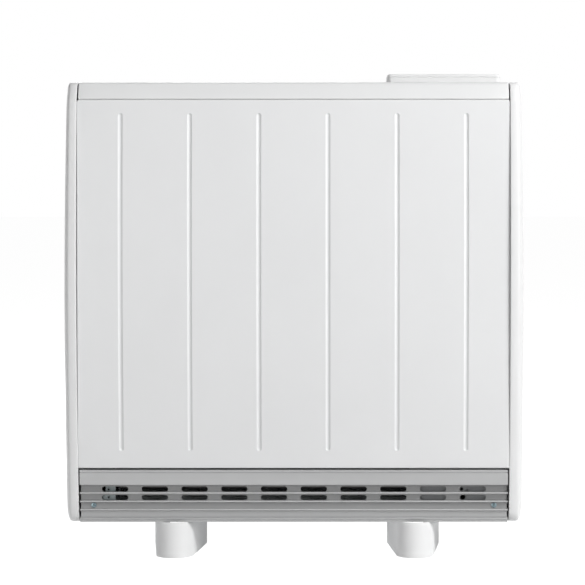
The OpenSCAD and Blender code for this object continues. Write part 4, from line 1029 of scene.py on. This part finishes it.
def button_profile(foot_z, top_z):
    """Half section of a button from its stem over its collar to its dished top."""
    collar_z, collar_top_z = top_high.z - 3.3, top_high.z - 2.3
    edge = [math.pi / 12 * i for i in range(7)]
    profile = [(2.0, foot_z), (2.0, collar_z), (7.5, collar_z), (7.5, collar_top_z), (6.0, collar_top_z)]
    profile += [(5.2 + 0.8 * math.cos(a), top_z - 0.8 + 0.8 * math.sin(a)) for a in edge]
    return profile + [(4.0, top_z - 0.12), (2.5, top_z - 0.25), (0.6, top_z - 0.3)]


for label, key_body in buttons.items():
    node = "button_" + label
    key = turned(node + "_cap", *middle(node), button_profile(low(node).z, high(node).z), button_plastic)
    smooth(key, 35)
    dress(key, key_body, "button_grey", node)

# ---------------------------------------------------------------- light, floor and camera

WORLD_GLOW, PAPER_SHINE = 0.08, 0.93
PAPER, VEIL = (0.8, 0.8, 0.8, 1.0), (0.7, 0.7, 0.7, 1.0)
FLOOR_SIDE, FLOOR_FAR, FLOOR_Z = 9000, 40000, -0.2
CASE_MIDDLE = (0.0, 0.0, 0.42)
FOCAL_PX, FRAME_PX = 1969.7, 585
CENTRE_PX = (349.7, 234.0)
SENSOR = 36.0
CAMERA_PLACE, CAMERA_DIP = (0.0859, -3.0885, 0.5642), 1.25

def seen_directly(net):
    """One where a ray comes from the camera, a reflection or through glass, otherwise nought."""
    rays = net.add("ShaderNodeLightPath").outputs
    through = net.math("MAXIMUM", rays["Is Glossy Ray"], rays["Is Transmission Ray"])
    return net.math("MAXIMUM", rays["Is Camera Ray"], through)


def white_world():
    """A white backdrop for the camera and soft light for the object."""
    world = bpy.data.worlds.new("studio")
    world.use_nodes = True
    bpy.context.scene.world = world
    net = Net(world.node_tree)
    world.node_tree.nodes.clear()
    seen = seen_directly(net)
    glow = net.add("ShaderNodeBackground", {"Color": WHITE, "Strength": WORLD_GLOW}).outputs[0]
    backdrop = net.add("ShaderNodeBackground", {"Color": WHITE, "Strength": 1.0}).outputs[0]
    mixed = net.add("ShaderNodeMixShader", {0: seen, 1: glow, 2: backdrop}).outputs[0]
    net.add("ShaderNodeOutputWorld", {"Surface": mixed})


def pale_floor():
    """A floor that reads as white paper and keeps the object's shadow."""
    side, far = FLOOR_SIDE, FLOOR_FAR
    corners = [(-side, -side), (side, -side), (side, far), (-side, far)]
    floor = shape("floor", [(x, y, FLOOR_Z) for x, y in corners], [(0, 1, 2, 3)])
    material = bpy.data.materials.new("floor_paper")
    material.use_nodes = True
    net = Net(material.node_tree)
    material.node_tree.nodes.clear()
    seen = seen_directly(net)
    paper = net.add("ShaderNodeBsdfDiffuse", {"Color": PAPER}).outputs[0]
    veil = net.add("ShaderNodeBsdfDiffuse", {"Color": VEIL}).outputs[0]
    shine = net.add("ShaderNodeEmission", {"Color": WHITE, "Strength": PAPER_SHINE}).outputs[0]
    bright = net.add("ShaderNodeAddShader", {0: veil, 1: shine}).outputs[0]
    mixed = net.add("ShaderNodeMixShader", {0: seen, 1: paper, 2: bright}).outputs[0]
    net.add("ShaderNodeOutputMaterial", {"Surface": mixed})
    floor.data.materials.append(material)


def lamp(name, place, target, size, power):
    """A square soft box aimed at a point."""
    data = bpy.data.lights.new(name, "AREA")
    data.shape = "SQUARE"
    data.size = size
    data.energy = power
    obj = bpy.data.objects.new(name, data)
    obj.location = place
    obj.rotation_euler = (Vector(target) - Vector(place)).to_track_quat("-Z", "Y").to_euler()
    bpy.context.scene.collection.objects.link(obj)


white_world()
pale_floor()
lamp("key", (2.0, -1.7, 2.3), CASE_MIDDLE, 1.1, 60.0)
lamp("side", (2.8, -1.9, 1.3), CASE_MIDDLE, 1.4, 31.0)
lamp("rear", (-0.8, 3.0, 1.9), CASE_MIDDLE, 1.6, 45.0)
lamp("fill", (-1.8, -2.6, 0.4), CASE_MIDDLE, 1.2, 21.5)

camera_data = bpy.data.cameras.new("camera")
camera_data.lens = SENSOR * FOCAL_PX / FRAME_PX
camera_data.shift_x = 0.5 - CENTRE_PX[0] / FRAME_PX
camera_data.shift_y = CENTRE_PX[1] / FRAME_PX - 0.5
camera = bpy.data.objects.new("camera", camera_data)
camera.location = CAMERA_PLACE
camera.rotation_euler = (math.radians(90.0 - CAMERA_DIP), 0.0, 0.0)
bpy.context.scene.collection.objects.link(camera)
bpy.context.scene.camera = camera
bpy.context.scene.view_settings.view_transform = "Standard"
